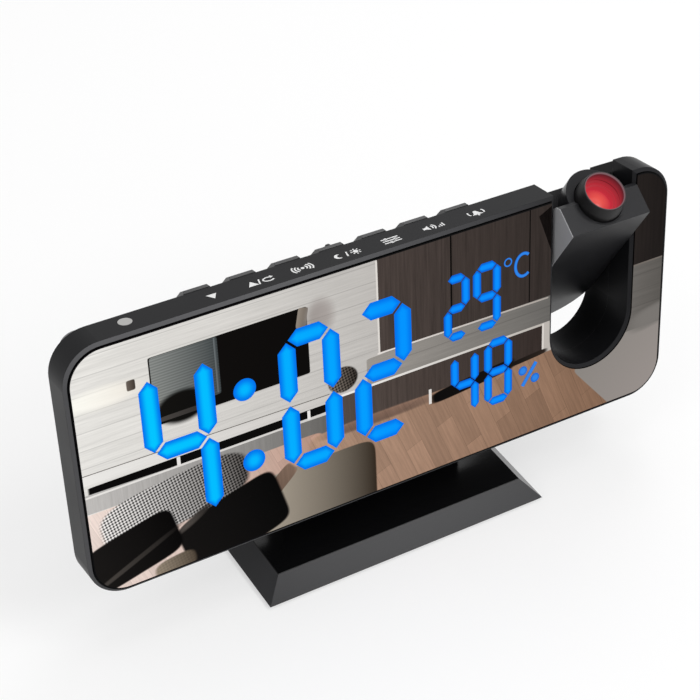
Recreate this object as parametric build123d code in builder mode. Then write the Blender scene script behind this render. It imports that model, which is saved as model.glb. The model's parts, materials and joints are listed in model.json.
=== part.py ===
from build123d import *

import os
from math import atan, cos, degrees, radians, sin, sqrt

os.makedirs("parts", exist_ok=True)

# Projection alarm clock on a foot. Millimetres and degrees, +Z up, front towards -Y.
# The origin is the middle of the foot's underside. The housing leans back and is drawn on the
# plane of its mirror: x across, v up the slope and n out of the face, so depths are negative n.

# ---- housing ----
width = 187.0
height = 75.3
lean = 9.76
edge_above_table = 18.04  # lower front edge of the mirror
corner_radius = 10.8
least_radius = 1.5
frame_depth = 9.77
housing_depth = 20.0
wall = 2.0
slip = 0.1  # gap all round a fixed piece that slots into another
running_gap = 0.3  # gap beside a piece that moves

# ---- mirror and front frame ----
mirror_thickness = 1.5
mirror_proud = 0.3
mirror_inset = 1.15
rim_chamfer_width = 0.95
rim_chamfer_depth = 0.7
deck_thickness = 1.5
flange_inset = 8.4
flange_thickness = 1.8

# ---- notch for the projector ----
right_limb = 13.2  # housing left to the right of the notch
notch_width = 27.3
notch_floor = 17.5
pivot_drop = 17.5  # below the top edge

# ---- rear shell ----
shell_inset = 6.2
shell_draft = 0.8
shell_top_drop = 0.4
shell_top_slope = 5.2  # drop of the top from the frame to the back

# ---- digits ----
digit_margin = 5.5  # light box left above and below a digit's outer strokes
digit_width = 13.4
digit_stroke = 5.2
small_digit_gap = 1.1
small_digit_stroke = 2.3
stroke_gap = 0.7
colon_radius = 3.1
clock_rise = 0.4  # above the middle of the light box
clock_shares = [0.103, 0.407, 0.5866]  # places along the light box
colon_share = 0.2578
colon_spread = 22.4
colon_drop = 2.0
row_gap = 1.8  # shortens the two small rows against the clock's height
temperature_lift = 1.8
temperature_shares = [0.7773, 0.8571]
humidity_drop = 2.7
humidity_shares = [0.7965, 0.8875]
degree_icon_inset = 7.3  # from the light box's right end
percent_icon_inset = 3.9
icon_rise = 3.0
icon_size = (7.0, 9.4)

# ---- light box and display board ----
light_box_side = 16.5  # from the housing's left edge
light_box_notch_gap = 4.7
light_box_low = 14.0
light_box_drop = 11.3  # below the top edge
light_box_thickness = 6.0
diffuser_thickness = 1.2
board_thickness = 1.6
board_overhang = 2.0  # past the light box's left end
board_low = 8.9
board_drop = 6.0  # below the top edge
board_post_edge = 2.4
board_post_insets = [7.0, 36.3, 7.0, 10.3]  # low left, low right, high left, high right
post_radius = 2.1
led_size = (2.0, 1.2, 0.7)

# ---- housing screws ----
side_screw_inset = 11.0
side_screw_low = 14.0
side_screw_drop = 15.3
notch_screw_gap = 8.5  # from the notch's left wall
notch_screw_low = 11.2
limb_screw_inset = 13.0
limb_screw_low = 12.2
boss_radius = 2.8
screw_radius = 1.2
screw_head_radius = 2.3
screw_head_height = 1.5
screw_clearance = 0.15
counterbore_depth = 4.0
screw_engagement = 4.5
screw_hole_spare = 1.0  # hole left past the tip of a screw
board_screw_head_radius = 2.0

# ---- keys along the back of the top ----
key_names = ["key_down", "key_up", "key_radio", "key_night", "key_set", "key_volume", "key_alarm"]
key_row_gap = 25.6  # last key's middle from the notch's left wall
key_pitch = 13.15
key_length = 8.0
key_end_slope = 0.67
key_front_gap = 0.33
key_rear_land = 0.9  # shell left behind a key
key_front_slope = 1.0
key_pad_depth = 1.9  # level with the slope of the shell's top
key_rear_slope = 2.0
key_crest_rise = 0.3  # above the top edge
key_underside_drop = 5.4
key_travel = 0.5
key_lip = 0.8
key_lip_thickness = 0.7
key_lip_depth = 2.6
key_post_radius = 1.5
key_nub_radius = 0.9
key_nub_height = 0.45
switch_size = 6.0
switch_height = 3.5
switch_stem_radius = 1.7
switch_stem_height = 0.8
switch_set_back = 0.75  # behind the middle of the keys
key_board_drop = 11.7  # below the top edge
key_board_front_gap = 1.13
key_board_back_gap = 0.6
key_board_overhang = 5.0
shelf_length = 4.0
key_play = 0.05

# ---- light sensor in the top of the frame ----
sensor_side = 20.2  # from the housing's left edge
sensor_depth = 6.1
sensor_window_radius = 1.9
sensor_radius = 1.5
sensor_height = 2.3

# ---- back of the shell: speaker, battery, boards and sockets, seen in x and v ----
speaker_notch_gap = 26.0  # centre from the notch's left wall
speaker_centre = 39.0
speaker_radius = 14.0
speaker_rim = 3.0
magnet_radius = 8.0
magnet_height = 3.4
gasket_thickness = 0.8
grille_pitch = 3.0
grille_hole_radius = 0.8
grille_rings = 3
battery_vent_gap = 22.0
battery_centre = 40.0
cell_radius = 10.0
cell_thickness = 3.2
cell_cup_wall = 1.3
cell_cup_floor = 1.0
cap_radius = 12.4
cap_thickness = 1.9
coin_slot_length = 13.0
coin_slot_width = 1.8
coin_slot_depth = 0.9
contact_thickness = 0.3
contact_radius = 5.0
socket_centre = 23.0
socket_pitch = 23.5  # speaker to charging socket to power socket
main_board_margin = 9.0  # beyond the power socket's centre
main_board_length = 41.0
main_board_height = 22.0
main_board_rise = 1.5  # its middle above the sockets' centres
main_board_set_back = 7.2  # from the back of the housing
main_screw_gap = 12.0  # from the power socket's centre
main_screw_spread = 16.0
main_screw_rise = 0.5
main_post_radius = 2.4
power_size = 9.0
power_bore_radius = 2.9
power_bore_depth = 6.0
power_pin_radius = 1.0
usb_size = (13.2, 5.8)
usb_wall = 0.5
usb_tongue = (10.0, 1.6)
usb_depth = 5.5
vent_side = 21.5  # from the housing's left edge
vent_centre = 40.0
vent_size = (1.4, 14.0)
vent_pitch = 3.2
vent_count = 5
climate_sensor_size = (3.0, 3.0, 1.1)

# ---- projector arm, drawn on its own plane: x across, e up the arm and f forwards ----
arm_tilt = 35.6  # forward of folded
arm_wall = 1.8
arm_front = 9.4
arm_back = 8.1
arm_tail_gap = 2.2  # to the notch's floor as the arm swings past
arm_ridge = (16.95, 9.4)
arm_peak = (18.25, 1.0)
arm_peak_back = (17.2, -0.3)
arm_shelf = (10.9, -2.7)  # behind the peak the arm drops to this low shelf, round the collar
arm_side_gap = 0.3
cover_thickness = 1.6
cover_lip = 1.0
cover_top = 8.6
arm_screw_upper = 14.0  # below the pivot
arm_screw_tail_inset = 9.1
arm_boss_radius = 2.5
arm_screw_radius = 0.85
arm_screw_head_radius = 1.8
arm_screw_head_height = 1.0
web_low = 7.6
web_thickness = 1.5

# ---- optics on the arm ----
lens_axis_f = 1.45
collar_axis_f = 0.2
collar_radius = 8.9
collar_top = 17.2
collar_gap = 0.2
focus_outer_radius = 6.95
focus_inner_radius = 6.3
focus_bottom = 10.0
focus_hood = 18.9  # where the ring's wall starts to taper, clear of the barrel's end
focus_hood_bore = 5.7
focus_hood_wall = 0.55
focus_top = 22.15
focus_edge_round = 0.2
barrel_radius = 6.1
barrel_bore = 5.2
barrel_bottom = -7.4
barrel_top = 18.4
barrel_flange = (20.0, 11.4, 1.4)
cell_tube_radius = 5.05
cell_tube_bore = 4.45
cell_tube_bottom = 13.2
cell_tube_length = 4.2
lens_radius = 4.4
lens_rim = 1.0
lens_dome = 1.1
condenser_bottom = -1.5
condenser_thickness = 2.6
slide_bottom = 3.0
slide_thickness = 0.8
lamp_radius = 2.5
lamp_length = 4.5
lamp_dome_round = 2.0
lamp_board_thickness = 1.2

# ---- projector pivot ----
shaft_radius = 2.5
shaft_bore = 1.4
shaft_head_radius = 3.6
shaft_head_thickness = 1.2
bush_radius = 4.0
bush_clearance = 0.05
bush_length = 3.2
saddle_half_height = 5.6
washer_thickness = 0.4
clip_radius = 4.2
clip_thickness = 0.6
shaft_end = 0.2

# ---- foot and neck ----
foot_width = 91.6
foot_depth = 54.0
foot_ahead = 8.91  # foot's front edge ahead of the mirror's lower edge
foot_bevel_inset = 5.38
foot_bevel_height = 5.57
foot_wall = 2.0
pad_thickness = 0.7
pad_inset = 0.5
weight_size = (74.0, 36.0, 1.9)
neck_width = 60.0
neck_front = 13.0  # on the foot, behind the mirror's lower edge
neck_back = 29.0
neck_top_front_gap = 0.53  # behind the front frame
neck_top_back_gap = 0.6  # ahead of the shell's back
neck_wall = 2.6
neck_pocket = 26.0
neck_screw_x = 20.0
neck_screw_gap = 4.83  # behind the front frame
neck_screw_length = 8.0
foot_screw_y = 21.0
foot_screw_length = 6.5

# ---- derived places ----
front_y = foot_ahead - foot_depth / 2
foot_top = pad_thickness + foot_bevel_height
left_edge = -width / 2
notch_half = notch_width / 2
notch_x = width / 2 - right_limb - notch_half
notch_left = notch_x - notch_half
notch_centre = notch_floor + notch_half
pivot_height = height - pivot_drop
deck_back = mirror_thickness + deck_thickness
shell_side = shell_inset + wall
light_box_back = mirror_thickness + light_box_thickness
board_back = light_box_back + board_thickness
back_inner = housing_depth - wall

# display
light_box_left = left_edge + light_box_side
light_box_right = notch_left - light_box_notch_gap
light_box_high = height - light_box_drop
light_box_length = light_box_right - light_box_left
board_left = light_box_left - board_overhang
board_high = height - board_drop
digit_height = light_box_high - light_box_low - 2 * digit_margin
small_digit_height = (digit_height - row_gap) / 2
clock_centre = (light_box_low + light_box_high) / 2 + clock_rise
temperature_centre = clock_centre + (digit_height - small_digit_height) / 2 + temperature_lift
humidity_centre = clock_centre - (digit_height - small_digit_height) / 2 - humidity_drop
clock_digits = [light_box_left + share * light_box_length for share in clock_shares]
small_digit_pitch = (temperature_shares[1] - temperature_shares[0]) * light_box_length
small_digit_width = small_digit_pitch - small_digit_stroke - small_digit_gap
temperature_digits = [light_box_left + share * light_box_length for share in temperature_shares]
humidity_digits = [light_box_left + share * light_box_length for share in humidity_shares]
colon_x = light_box_left + colon_share * light_box_length
icon_spots = [
    (light_box_right - degree_icon_inset, temperature_centre + icon_rise),
    (light_box_right - percent_icon_inset, humidity_centre - icon_rise),
]
board_posts = [
    (light_box_left + board_post_insets[0], board_low + board_post_edge),
    (light_box_right - board_post_insets[1], board_low + board_post_edge),
    (light_box_left + board_post_insets[2], board_high - board_post_edge),
    (light_box_right - board_post_insets[3], board_high - board_post_edge),
]
screw_points = [
    (left_edge + side_screw_inset, side_screw_low),
    (left_edge + side_screw_inset, height - side_screw_drop),
    (notch_left - notch_screw_gap, notch_screw_low),
    (width / 2 - limb_screw_inset, limb_screw_low),
]

# keys and their board
key_front = frame_depth + key_front_gap
key_back = back_inner - key_rear_land - running_gap
key_crest = height + key_crest_rise
key_pad_front = key_front + key_front_slope
key_pad_back = key_pad_front + key_pad_depth
key_slope_end = key_pad_back + key_rear_slope
shell_fall = (shell_top_slope + shell_draft) / (housing_depth - frame_depth)
key_underside = height - key_underside_drop
key_xs = [notch_left - key_row_gap - key_pitch * i for i in reversed(range(len(key_names)))]
switch_depth = (key_front + key_back) / 2 + switch_set_back
key_board_top = height - key_board_drop
key_board_front = frame_depth + key_board_front_gap
key_board_back = back_inner - key_board_back_gap
sensor_x = left_edge + sensor_side

# back of the shell
speaker_spot = (notch_left - speaker_notch_gap, speaker_centre)
usb_spot = (speaker_spot[0] - socket_pitch, socket_centre)
power_spot = (usb_spot[0] - socket_pitch, socket_centre)
vent_spot = (left_edge + vent_side, vent_centre)
battery_spot = (vent_spot[0] + battery_vent_gap, battery_centre)
main_board_back = housing_depth - main_board_set_back
main_board_spot = (
    power_spot[0] - main_board_margin + main_board_length / 2,
    socket_centre + main_board_rise,
)
main_board_screws = [
    (power_spot[0] + main_screw_gap, socket_centre + main_screw_rise + side * main_screw_spread / 2)
    for side in (-1, 1)
]

# arm, neck and foot
arm_half = notch_half - arm_side_gap
arm_tail = pivot_height - notch_floor - arm_tail_gap
arm_screw_spots = [(0, -arm_screw_upper), (0, arm_screw_tail_inset - arm_tail)]
saddle_xs = [notch_x + side * (notch_half + (bush_length + wall) / 2) for side in (-1, 1)]
neck_top_front = frame_depth + neck_top_front_gap
neck_top_back = housing_depth - neck_top_back_gap
neck_screw_depth = frame_depth + neck_screw_gap
neck_screw_spots = [(side * neck_screw_x, neck_screw_depth) for side in (-1, 1)]
foot_screw_spots = [(side * neck_screw_x, front_y + foot_screw_y) for side in (-1, 1)]


def leaning(origin, angle):
    """Plane with x across and y up a slope that leans back by angle."""
    return Plane(origin, x_dir=(1, 0, 0), z_dir=(0, -cos(radians(angle)), sin(radians(angle))))


face = leaning((0, front_y, edge_above_table), lean)
out_of_face = Axis(face.origin, face.z_dir)


def at(x, v, n):
    """Point in the row's frame from a place on the housing."""
    return face.from_local_coords((x, v, n))


def across(x):
    """Plane square to X at x, drawn in v and n."""
    return Plane(at(x, 0, 0), x_dir=face.y_dir, z_dir=(1, 0, 0))


def level(v):
    """Plane square to the slope at v, drawn in x and depth."""
    return Plane(at(0, v, 0), x_dir=(1, 0, 0), z_dir=face.y_dir)


pivot = at(notch_x, pivot_height, -frame_depth)
arm = leaning(pivot, lean - arm_tilt)


def arm_across(x):
    """Plane square to X at x beside the arm's middle, drawn in e and f."""
    return Plane(arm.from_local_coords((x, 0, 0)), x_dir=arm.y_dir, z_dir=(1, 0, 0))


def lens_level(e):
    """Plane square to the lens axis at e, centred on that axis."""
    return Plane(arm.from_local_coords((0, e, lens_axis_f)), x_dir=(1, 0, 0), z_dir=arm.y_dir)


def slot(half, mode=Mode.SUBTRACT):
    """Open-topped slot with a round floor, about the notch's middle line."""
    with Locations((notch_x, notch_centre)):
        Circle(half, mode=mode)
    with Locations((notch_x, notch_centre + height / 2)):
        Rectangle(2 * half, height, mode=mode)


def outline(inset, top_inset, notch_wall):
    """Rounded outline of the housing moved in from its edges, with the notch."""
    low = inset
    high = height - top_inset
    with Locations((0, (low + high) / 2)):
        RectangleRounded(width - 2 * inset, high - low, max(corner_radius - inset, least_radius))
    slot(notch_half + notch_wall)


def shell_section(inset, drop):
    """Section of the rear shell, its lower edge always at shell_inset plus inset."""
    low = shell_inset + min(inset, wall)
    high = height - drop - min(inset, wall)
    with Locations((0, (low + high) / 2)):
        RectangleRounded(width - 2 * (shell_inset + inset), high - low, corner_radius - shell_inset)


def shell_top(depth):
    """Height of the rear shell's sloping top at a depth behind the mirror."""
    return height - shell_top_drop - (depth - frame_depth) * shell_fall


def stroke(length, thickness):
    """Pointed bar of a seven-stroke digit, lying along x."""
    half = length / 2
    side = thickness / 2
    Polygon(
        (-half, 0),
        (-half + side, -side),
        (half - side, -side),
        (half, 0),
        (half - side, side),
        (-half + side, side),
    )


def digit(x, v, wide, tall, thickness, inset):
    """All seven strokes of one digit about its centre, each moved in by inset."""
    across_length = wide - sqrt(2) * (stroke_gap + 2 * inset)
    up_length = tall / 2 - sqrt(2) * (stroke_gap + 2 * inset)
    thickness = thickness - 2 * inset
    for row in (-1, 0, 1):
        with Locations((x, v + row * tall / 2)):
            stroke(across_length, thickness)
        if row:
            for side in (-1, 1):
                with Locations(Location((x + side * wide / 2, v + row * tall / 4, 0), (0, 0, 90))):
                    stroke(up_length, thickness)


def all_strokes(inset=0):
    """Every lit place of the display, moved in from its edges by inset."""
    for x in clock_digits:
        digit(x, clock_centre, digit_width, digit_height, digit_stroke, inset)
    for xs, v in [(temperature_digits, temperature_centre), (humidity_digits, humidity_centre)]:
        for x in xs:
            digit(x, v, small_digit_width, small_digit_height, small_digit_stroke, inset)
    for side in (-1, 1):
        with Locations((colon_x, clock_centre - colon_drop + side * colon_spread / 2)):
            Circle(colon_radius - inset)
    with Locations(*icon_spots):
        Rectangle(icon_size[0] - 2 * inset, icon_size[1] - 2 * inset)


# ---- front frame: rim, deck behind the mirror, notch walls and pivot saddles ----
with BuildPart() as front_frame:
    with BuildSketch(face.offset(-frame_depth)):
        outline(0, 0, 0)
    extrude(amount=frame_depth - mirror_proud)
    rim = front_frame.faces().sort_by(out_of_face)[-1]
    chamfer(rim.edges(), length=rim_chamfer_width, length2=rim_chamfer_depth, reference=rim)
    with BuildSketch(face.offset(-mirror_thickness)):
        outline(mirror_inset - slip, mirror_inset - slip, mirror_inset - slip)
    extrude(amount=mirror_thickness, mode=Mode.SUBTRACT)
    with BuildSketch(face.offset(-frame_depth + flange_thickness)):
        outline(wall, wall, wall)
    extrude(amount=frame_depth - flange_thickness - deck_back, mode=Mode.SUBTRACT)
    with BuildSketch(face.offset(-frame_depth)):
        outline(flange_inset, wall, wall)
    extrude(amount=flange_thickness, mode=Mode.SUBTRACT)
    with BuildSketch(face.offset(-deck_back)):
        with Locations(
            ((light_box_left + light_box_right) / 2, (light_box_low + light_box_high) / 2)
        ):
            Rectangle(
                light_box_right - light_box_left + 2 * slip,
                light_box_high - light_box_low + 2 * slip,
            )
    extrude(amount=deck_thickness, mode=Mode.SUBTRACT)
    with BuildSketch(face.offset(-deck_back)):
        with Locations(*screw_points):
            Circle(boss_radius)
    extrude(amount=-(frame_depth - deck_back))
    with BuildSketch(face.offset(-deck_back)):
        with Locations(*board_posts):
            Circle(post_radius)
    extrude(amount=-(light_box_back - deck_back))
    with BuildSketch(face.offset(-frame_depth)):
        with Locations(*[(x, pivot_height) for x in saddle_xs]):
            Rectangle(bush_length - wall, 2 * saddle_half_height)
    extrude(amount=frame_depth - deck_back)
    with BuildSketch(Plane(pivot, x_dir=face.y_dir, z_dir=(1, 0, 0))):
        Circle(bush_radius)
    extrude(amount=notch_half + bush_length, both=True, mode=Mode.SUBTRACT)
    with BuildSketch(face.offset(-frame_depth)):
        with Locations(*screw_points):
            Circle(screw_radius + screw_clearance / 2)
    extrude(amount=screw_engagement + screw_hole_spare, mode=Mode.SUBTRACT)
    with BuildSketch(face.offset(-light_box_back)):
        with Locations(*board_posts):
            Circle(screw_radius + screw_clearance / 2)
    extrude(amount=light_box_back - deck_back, mode=Mode.SUBTRACT)
    with BuildSketch(level(height - wall)):
        with Locations((sensor_x, sensor_depth)):
            Circle(sensor_window_radius)
    extrude(amount=wall, mode=Mode.SUBTRACT)
front_frame.part.label = "front_frame"
export_step(front_frame.part, "parts/front_frame.step")

# ---- half-silvered acrylic mirror, bonded into the frame ----
with BuildPart() as mirror_plate:
    with BuildSketch(face.offset(-mirror_thickness)):
        outline(mirror_inset, mirror_inset, mirror_inset)
    extrude(amount=mirror_thickness)
mirror_plate.part.label = "mirror_plate"
export_step(mirror_plate.part, "parts/mirror_plate.step")

# ---- light box: one cavity behind every stroke ----
with BuildPart() as light_box:
    with BuildSketch(face.offset(-light_box_back)):
        with Locations(
            ((light_box_left + light_box_right) / 2, (light_box_low + light_box_high) / 2)
        ):
            Rectangle(light_box_right - light_box_left, light_box_high - light_box_low)
    extrude(amount=light_box_thickness)
    with BuildSketch(face.offset(-light_box_back)):
        all_strokes()
    extrude(amount=light_box_thickness, mode=Mode.SUBTRACT)
light_box.part.label = "light_box"
export_step(light_box.part, "parts/light_box.step")

# ---- diffusers: a slip of milky plastic in the mouth of every cavity ----
with BuildPart() as diffusers:
    with BuildSketch(face.offset(-mirror_thickness - diffuser_thickness)):
        all_strokes(slip / 2)
    extrude(amount=diffuser_thickness)
diffusers.part.label = "diffusers"
export_step(diffusers.part, "parts/diffusers.step")

# ---- display board behind the light box, cleared around one housing screw boss ----
with BuildPart() as display_board:
    with BuildSketch(face.offset(-board_back)):
        with Locations(
            ((board_left + light_box_right) / 2, (board_low + board_high) / 2)
        ):
            Rectangle(light_box_right - board_left, board_high - board_low)
        with Locations(*screw_points):
            Circle(boss_radius + slip, mode=Mode.SUBTRACT)
        with Locations(*board_posts):
            Circle(screw_radius + screw_clearance, mode=Mode.SUBTRACT)
    extrude(amount=board_thickness)
display_board.part.label = "display_board"
export_step(display_board.part, "parts/display_board.step")


def led_spots():
    """One place for a light emitter behind each digit's strokes, the colon and the icons."""
    rows = [
        (clock_digits, clock_centre, digit_width, digit_height),
        (temperature_digits, temperature_centre, small_digit_width, small_digit_height),
        (humidity_digits, humidity_centre, small_digit_width, small_digit_height),
    ]
    spots = [(colon_x, clock_centre - colon_drop + side * colon_spread / 2) for side in (-1, 1)]
    spots += icon_spots
    for xs, v, wide, tall in rows:
        for x in xs:
            spots += [(x, v + row * tall / 2) for row in (-1, 0, 1)]
            spots += [(x + i * wide / 2, v + j * tall / 4) for i in (-1, 1) for j in (-1, 1)]
    return spots


with BuildPart() as leds:
    with BuildSketch(face.offset(-light_box_back)):
        with Locations(*led_spots()):
            Rectangle(led_size[0], led_size[1])
    extrude(amount=led_size[2])
leds.part.label = "leds"
export_step(leds.part, "parts/leds.step")

with BuildPart() as board_screws:
    with BuildSketch(face.offset(-board_back)):
        with Locations(*board_posts):
            Circle(board_screw_head_radius)
    extrude(amount=-screw_head_height)
    with BuildSketch(face.offset(-board_back)):
        with Locations(*board_posts):
            Circle(screw_radius)
    extrude(amount=board_back - deck_back - screw_hole_spare)
board_screws.part.label = "board_screws"
export_step(board_screws.part, "parts/board_screws.step")

# ---- rear shell: tapered tub with the notch through it and a floor full of openings ----
with BuildPart() as shell_cavity:
    with BuildSketch(face.offset(-frame_depth)):
        shell_section(wall, shell_top_drop)
    with BuildSketch(face.offset(-back_inner)):
        shell_section(wall + shell_draft, shell_top_drop + shell_top_slope)
    loft()
    with BuildSketch(face.offset(-housing_depth)):
        slot(notch_half + wall, mode=Mode.ADD)
    extrude(amount=housing_depth, mode=Mode.SUBTRACT)

with BuildPart() as rear_shell:
    with BuildSketch(face.offset(-frame_depth)):
        shell_section(0, shell_top_drop)
    with BuildSketch(face.offset(-housing_depth)):
        shell_section(shell_draft, shell_top_drop + shell_top_slope)
    loft()
    with BuildSketch(face.offset(-housing_depth)):
        slot(notch_half, mode=Mode.ADD)
    extrude(amount=housing_depth, mode=Mode.SUBTRACT)
    add(shell_cavity.part, mode=Mode.SUBTRACT)
    with BuildSketch(face.offset(-back_inner)):
        with Locations(*screw_points):
            Circle(boss_radius)
    extrude(amount=back_inner - frame_depth)
    with BuildSketch(face.offset(-frame_depth)):
        with Locations(*[(x, pivot_height) for x in saddle_xs]):
            Rectangle(bush_length - wall, 2 * saddle_half_height)
    extrude(amount=-(bush_radius + wall))
    with BuildSketch(Plane(pivot, x_dir=face.y_dir, z_dir=(1, 0, 0))):
        Circle(bush_radius)
    extrude(amount=notch_half + bush_length, both=True, mode=Mode.SUBTRACT)
    # counterbored holes for the housing screws
    with BuildSketch(face.offset(-housing_depth)):
        with Locations(*screw_points):
            Circle(screw_radius + screw_clearance)
    extrude(amount=housing_depth, mode=Mode.SUBTRACT)
    with BuildSketch(face.offset(-housing_depth)):
        with Locations(*screw_points):
            Circle(screw_head_radius + screw_clearance)
    extrude(amount=counterbore_depth, mode=Mode.SUBTRACT)
    # key openings, open towards the frame
    for x in key_xs:
        with BuildSketch(level(key_board_top + switch_height)):
            with Locations((x, (frame_depth + key_back + running_gap) / 2)):
                Rectangle(key_length + 2 * running_gap, key_back + running_gap - frame_depth)
        extrude(amount=height, mode=Mode.SUBTRACT)
    # shelves for the key board
    for x in (key_xs[0] - key_board_overhang, key_xs[-1] + key_board_overhang):
        with BuildSketch(level(key_board_top - board_thickness)):
            with Locations((x, (key_board_front + back_inner) / 2)):
                Rectangle(shelf_length, back_inner - key_board_front)
        extrude(amount=-wall)
    # posts for the main board
    with BuildSketch(face.offset(-back_inner)):
        with Locations(*main_board_screws):
            Circle(main_post_radius)
    extrude(amount=back_inner - main_board_back)
    with BuildSketch(face.offset(-main_board_back)):
        with Locations(*main_board_screws):
            Circle(screw_radius + screw_clearance / 2)
    extrude(amount=-(back_inner - main_board_back), mode=Mode.SUBTRACT)
    # ring around the speaker and its grille
    with BuildSketch(face.offset(-back_inner)):
        with Locations(speaker_spot):
            Circle(speaker_radius + wall / 2 + slip)
            Circle(speaker_radius + slip, mode=Mode.SUBTRACT)
    extrude(amount=speaker_rim)
    with BuildSketch(face.offset(-housing_depth)):
        with Locations(speaker_spot):
            for ring in range(grille_rings + 1):
                with PolarLocations(ring * grille_pitch, max(6 * ring, 1)):
                    Circle(grille_hole_radius)
    extrude(amount=wall, mode=Mode.SUBTRACT)
    # battery opening, sockets and vents
    with BuildSketch(face.offset(-housing_depth)):
        with Locations(battery_spot):
            Circle(cap_radius + running_gap)
        with Locations(power_spot):
            Circle(power_bore_radius + 2 * running_gap)
        with Locations(usb_spot):
            Rectangle(usb_size[0] + 2 * slip, usb_size[1] + 2 * slip)
        with Locations(vent_spot):
            with GridLocations(vent_pitch, 0, vent_count, 1):
                SlotOverall(vent_size[1], vent_size[0], rotation=90)
    extrude(amount=wall, mode=Mode.SUBTRACT)
    # holes for the screws into the neck
    with BuildSketch(level(shell_inset)):
        with Locations(*neck_screw_spots):
            Circle(screw_radius + screw_clearance)
    extrude(amount=wall, mode=Mode.SUBTRACT)
rear_shell.part.label = "rear_shell"
export_step(rear_shell.part, "parts/rear_shell.step")

with BuildPart() as housing_screws:
    with BuildSketch(face.offset(-housing_depth + counterbore_depth)):
        with Locations(*screw_points):
            Circle(screw_head_radius)
    extrude(amount=-screw_head_height)
    with BuildSketch(face.offset(-housing_depth + counterbore_depth)):
        with Locations(*screw_points):
            Circle(screw_radius)
    extrude(amount=housing_depth - counterbore_depth - frame_depth + screw_engagement)
housing_screws.part.label = "housing_screws"
export_step(housing_screws.part, "parts/housing_screws.step")

# ---- keys: raised pads that follow the shell's sloping top, with lips under it and a post each ----
along_top = leaning(at(0, shell_top(0), 0), lean + degrees(atan(shell_fall)))
key_pad_rise = (key_crest - shell_top(key_pad_front)) * cos(atan(shell_fall))
for name, x in zip(key_names, key_xs):
    with BuildPart() as key:
        with BuildSketch(across(x - key_length / 2)):
            Polygon(
                (key_underside, -key_front),
                (height, -key_front),
                (key_crest, -key_pad_front),
                (key_crest - key_pad_depth * shell_fall, -key_pad_back),
                (shell_top(key_slope_end), -key_slope_end),
                (shell_top(key_back), -key_back),
                (key_underside, -key_back),
            )
        extrude(amount=key_length)
        with BuildSketch(along_top):
            half = key_length / 2
            Polygon(
                (x - half, -key_underside_drop),
                (x + half, -key_underside_drop),
                (x + half, 0),
                (x + half - 2 * key_end_slope, 2 * key_pad_rise),
                (x - half + 2 * key_end_slope, 2 * key_pad_rise),
                (x - half, 0),
            )
        extrude(amount=-2 * housing_depth, mode=Mode.INTERSECT)
        with BuildSketch(level(key_underside)):
            with Locations((x, key_front + key_lip_depth / 2)):
                Rectangle(key_length + 2 * key_lip, key_lip_depth)
        extrude(amount=key_lip_thickness)
        with BuildSketch(level(key_underside)):
            with Locations((x, switch_depth)):
                Circle(key_post_radius)
        stem_top = key_board_top + switch_height + switch_stem_height
        extrude(amount=-(key_underside - stem_top - key_travel - key_play))
        if name == "key_night":
            nub = at(x, key_crest - key_pad_depth / 2 * shell_fall, -key_pad_front - key_pad_depth / 2)
            with BuildSketch(Plane(nub, x_dir=(1, 0, 0), z_dir=along_top.y_dir)):
                Circle(key_nub_radius)
            extrude(amount=key_nub_height, taper=45)
    key.part.label = name
    export_step(key.part, f"parts/{name}.step")

# ---- key board and its tact switches, stems at their pressed height ----
with BuildPart() as key_board:
    with BuildSketch(level(key_board_top)):
        with Locations(((key_xs[0] + key_xs[-1]) / 2, (key_board_front + key_board_back) / 2)):
            Rectangle(
                key_xs[-1] - key_xs[0] + 2 * key_board_overhang,
                key_board_back - key_board_front,
            )
    extrude(amount=-board_thickness)
key_board.part.label = "key_board"
export_step(key_board.part, "parts/key_board.step")

with BuildPart() as tact_switches:
    with BuildSketch(level(key_board_top)):
        with Locations(*[(x, switch_depth) for x in key_xs]):
            Rectangle(switch_size, switch_size)
    extrude(amount=switch_height)
    with BuildSketch(level(key_board_top + switch_height)):
        with Locations(*[(x, switch_depth) for x in key_xs]):
            Circle(switch_stem_radius)
    extrude(amount=switch_stem_height)
tact_switches.part.label = "tact_switches"
export_step(tact_switches.part, "parts/tact_switches.step")

# ---- light sensor below its window in the top of the frame ----
with BuildPart() as sensor_window:
    with BuildSketch(level(height - wall)):
        with Locations((sensor_x, sensor_depth)):
            Circle(sensor_window_radius - slip / 2)
    extrude(amount=wall)
sensor_window.part.label = "sensor_window"
export_step(sensor_window.part, "parts/sensor_window.step")

with BuildPart() as light_sensor:
    sensor_base = height - wall - slip - sensor_height
    with BuildSketch(level(sensor_base)):
        with Locations((sensor_x, sensor_depth)):
            Circle(sensor_radius)
    extrude(amount=sensor_height)
    with BuildSketch(level(sensor_base)):
        with Locations((sensor_x, (sensor_depth - sensor_radius + light_box_back) / 2)):
            Rectangle(2 * sensor_radius, light_box_back - sensor_depth + sensor_radius)
    extrude(amount=-(sensor_base - light_box_high - 2 * wall))
light_sensor.part.label = "light_sensor"
export_step(light_sensor.part, "parts/light_sensor.step")

# ---- speaker on a foam gasket behind the grille ----
with BuildPart() as speaker_gasket:
    with BuildSketch(face.offset(-back_inner)):
        with Locations(speaker_spot):
            Circle(speaker_radius)
            Circle(grille_pitch * grille_rings + 2 * grille_hole_radius, mode=Mode.SUBTRACT)
    extrude(amount=gasket_thickness)
speaker_gasket.part.label = "speaker_gasket"
export_step(speaker_gasket.part, "parts/speaker_gasket.step")

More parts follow.
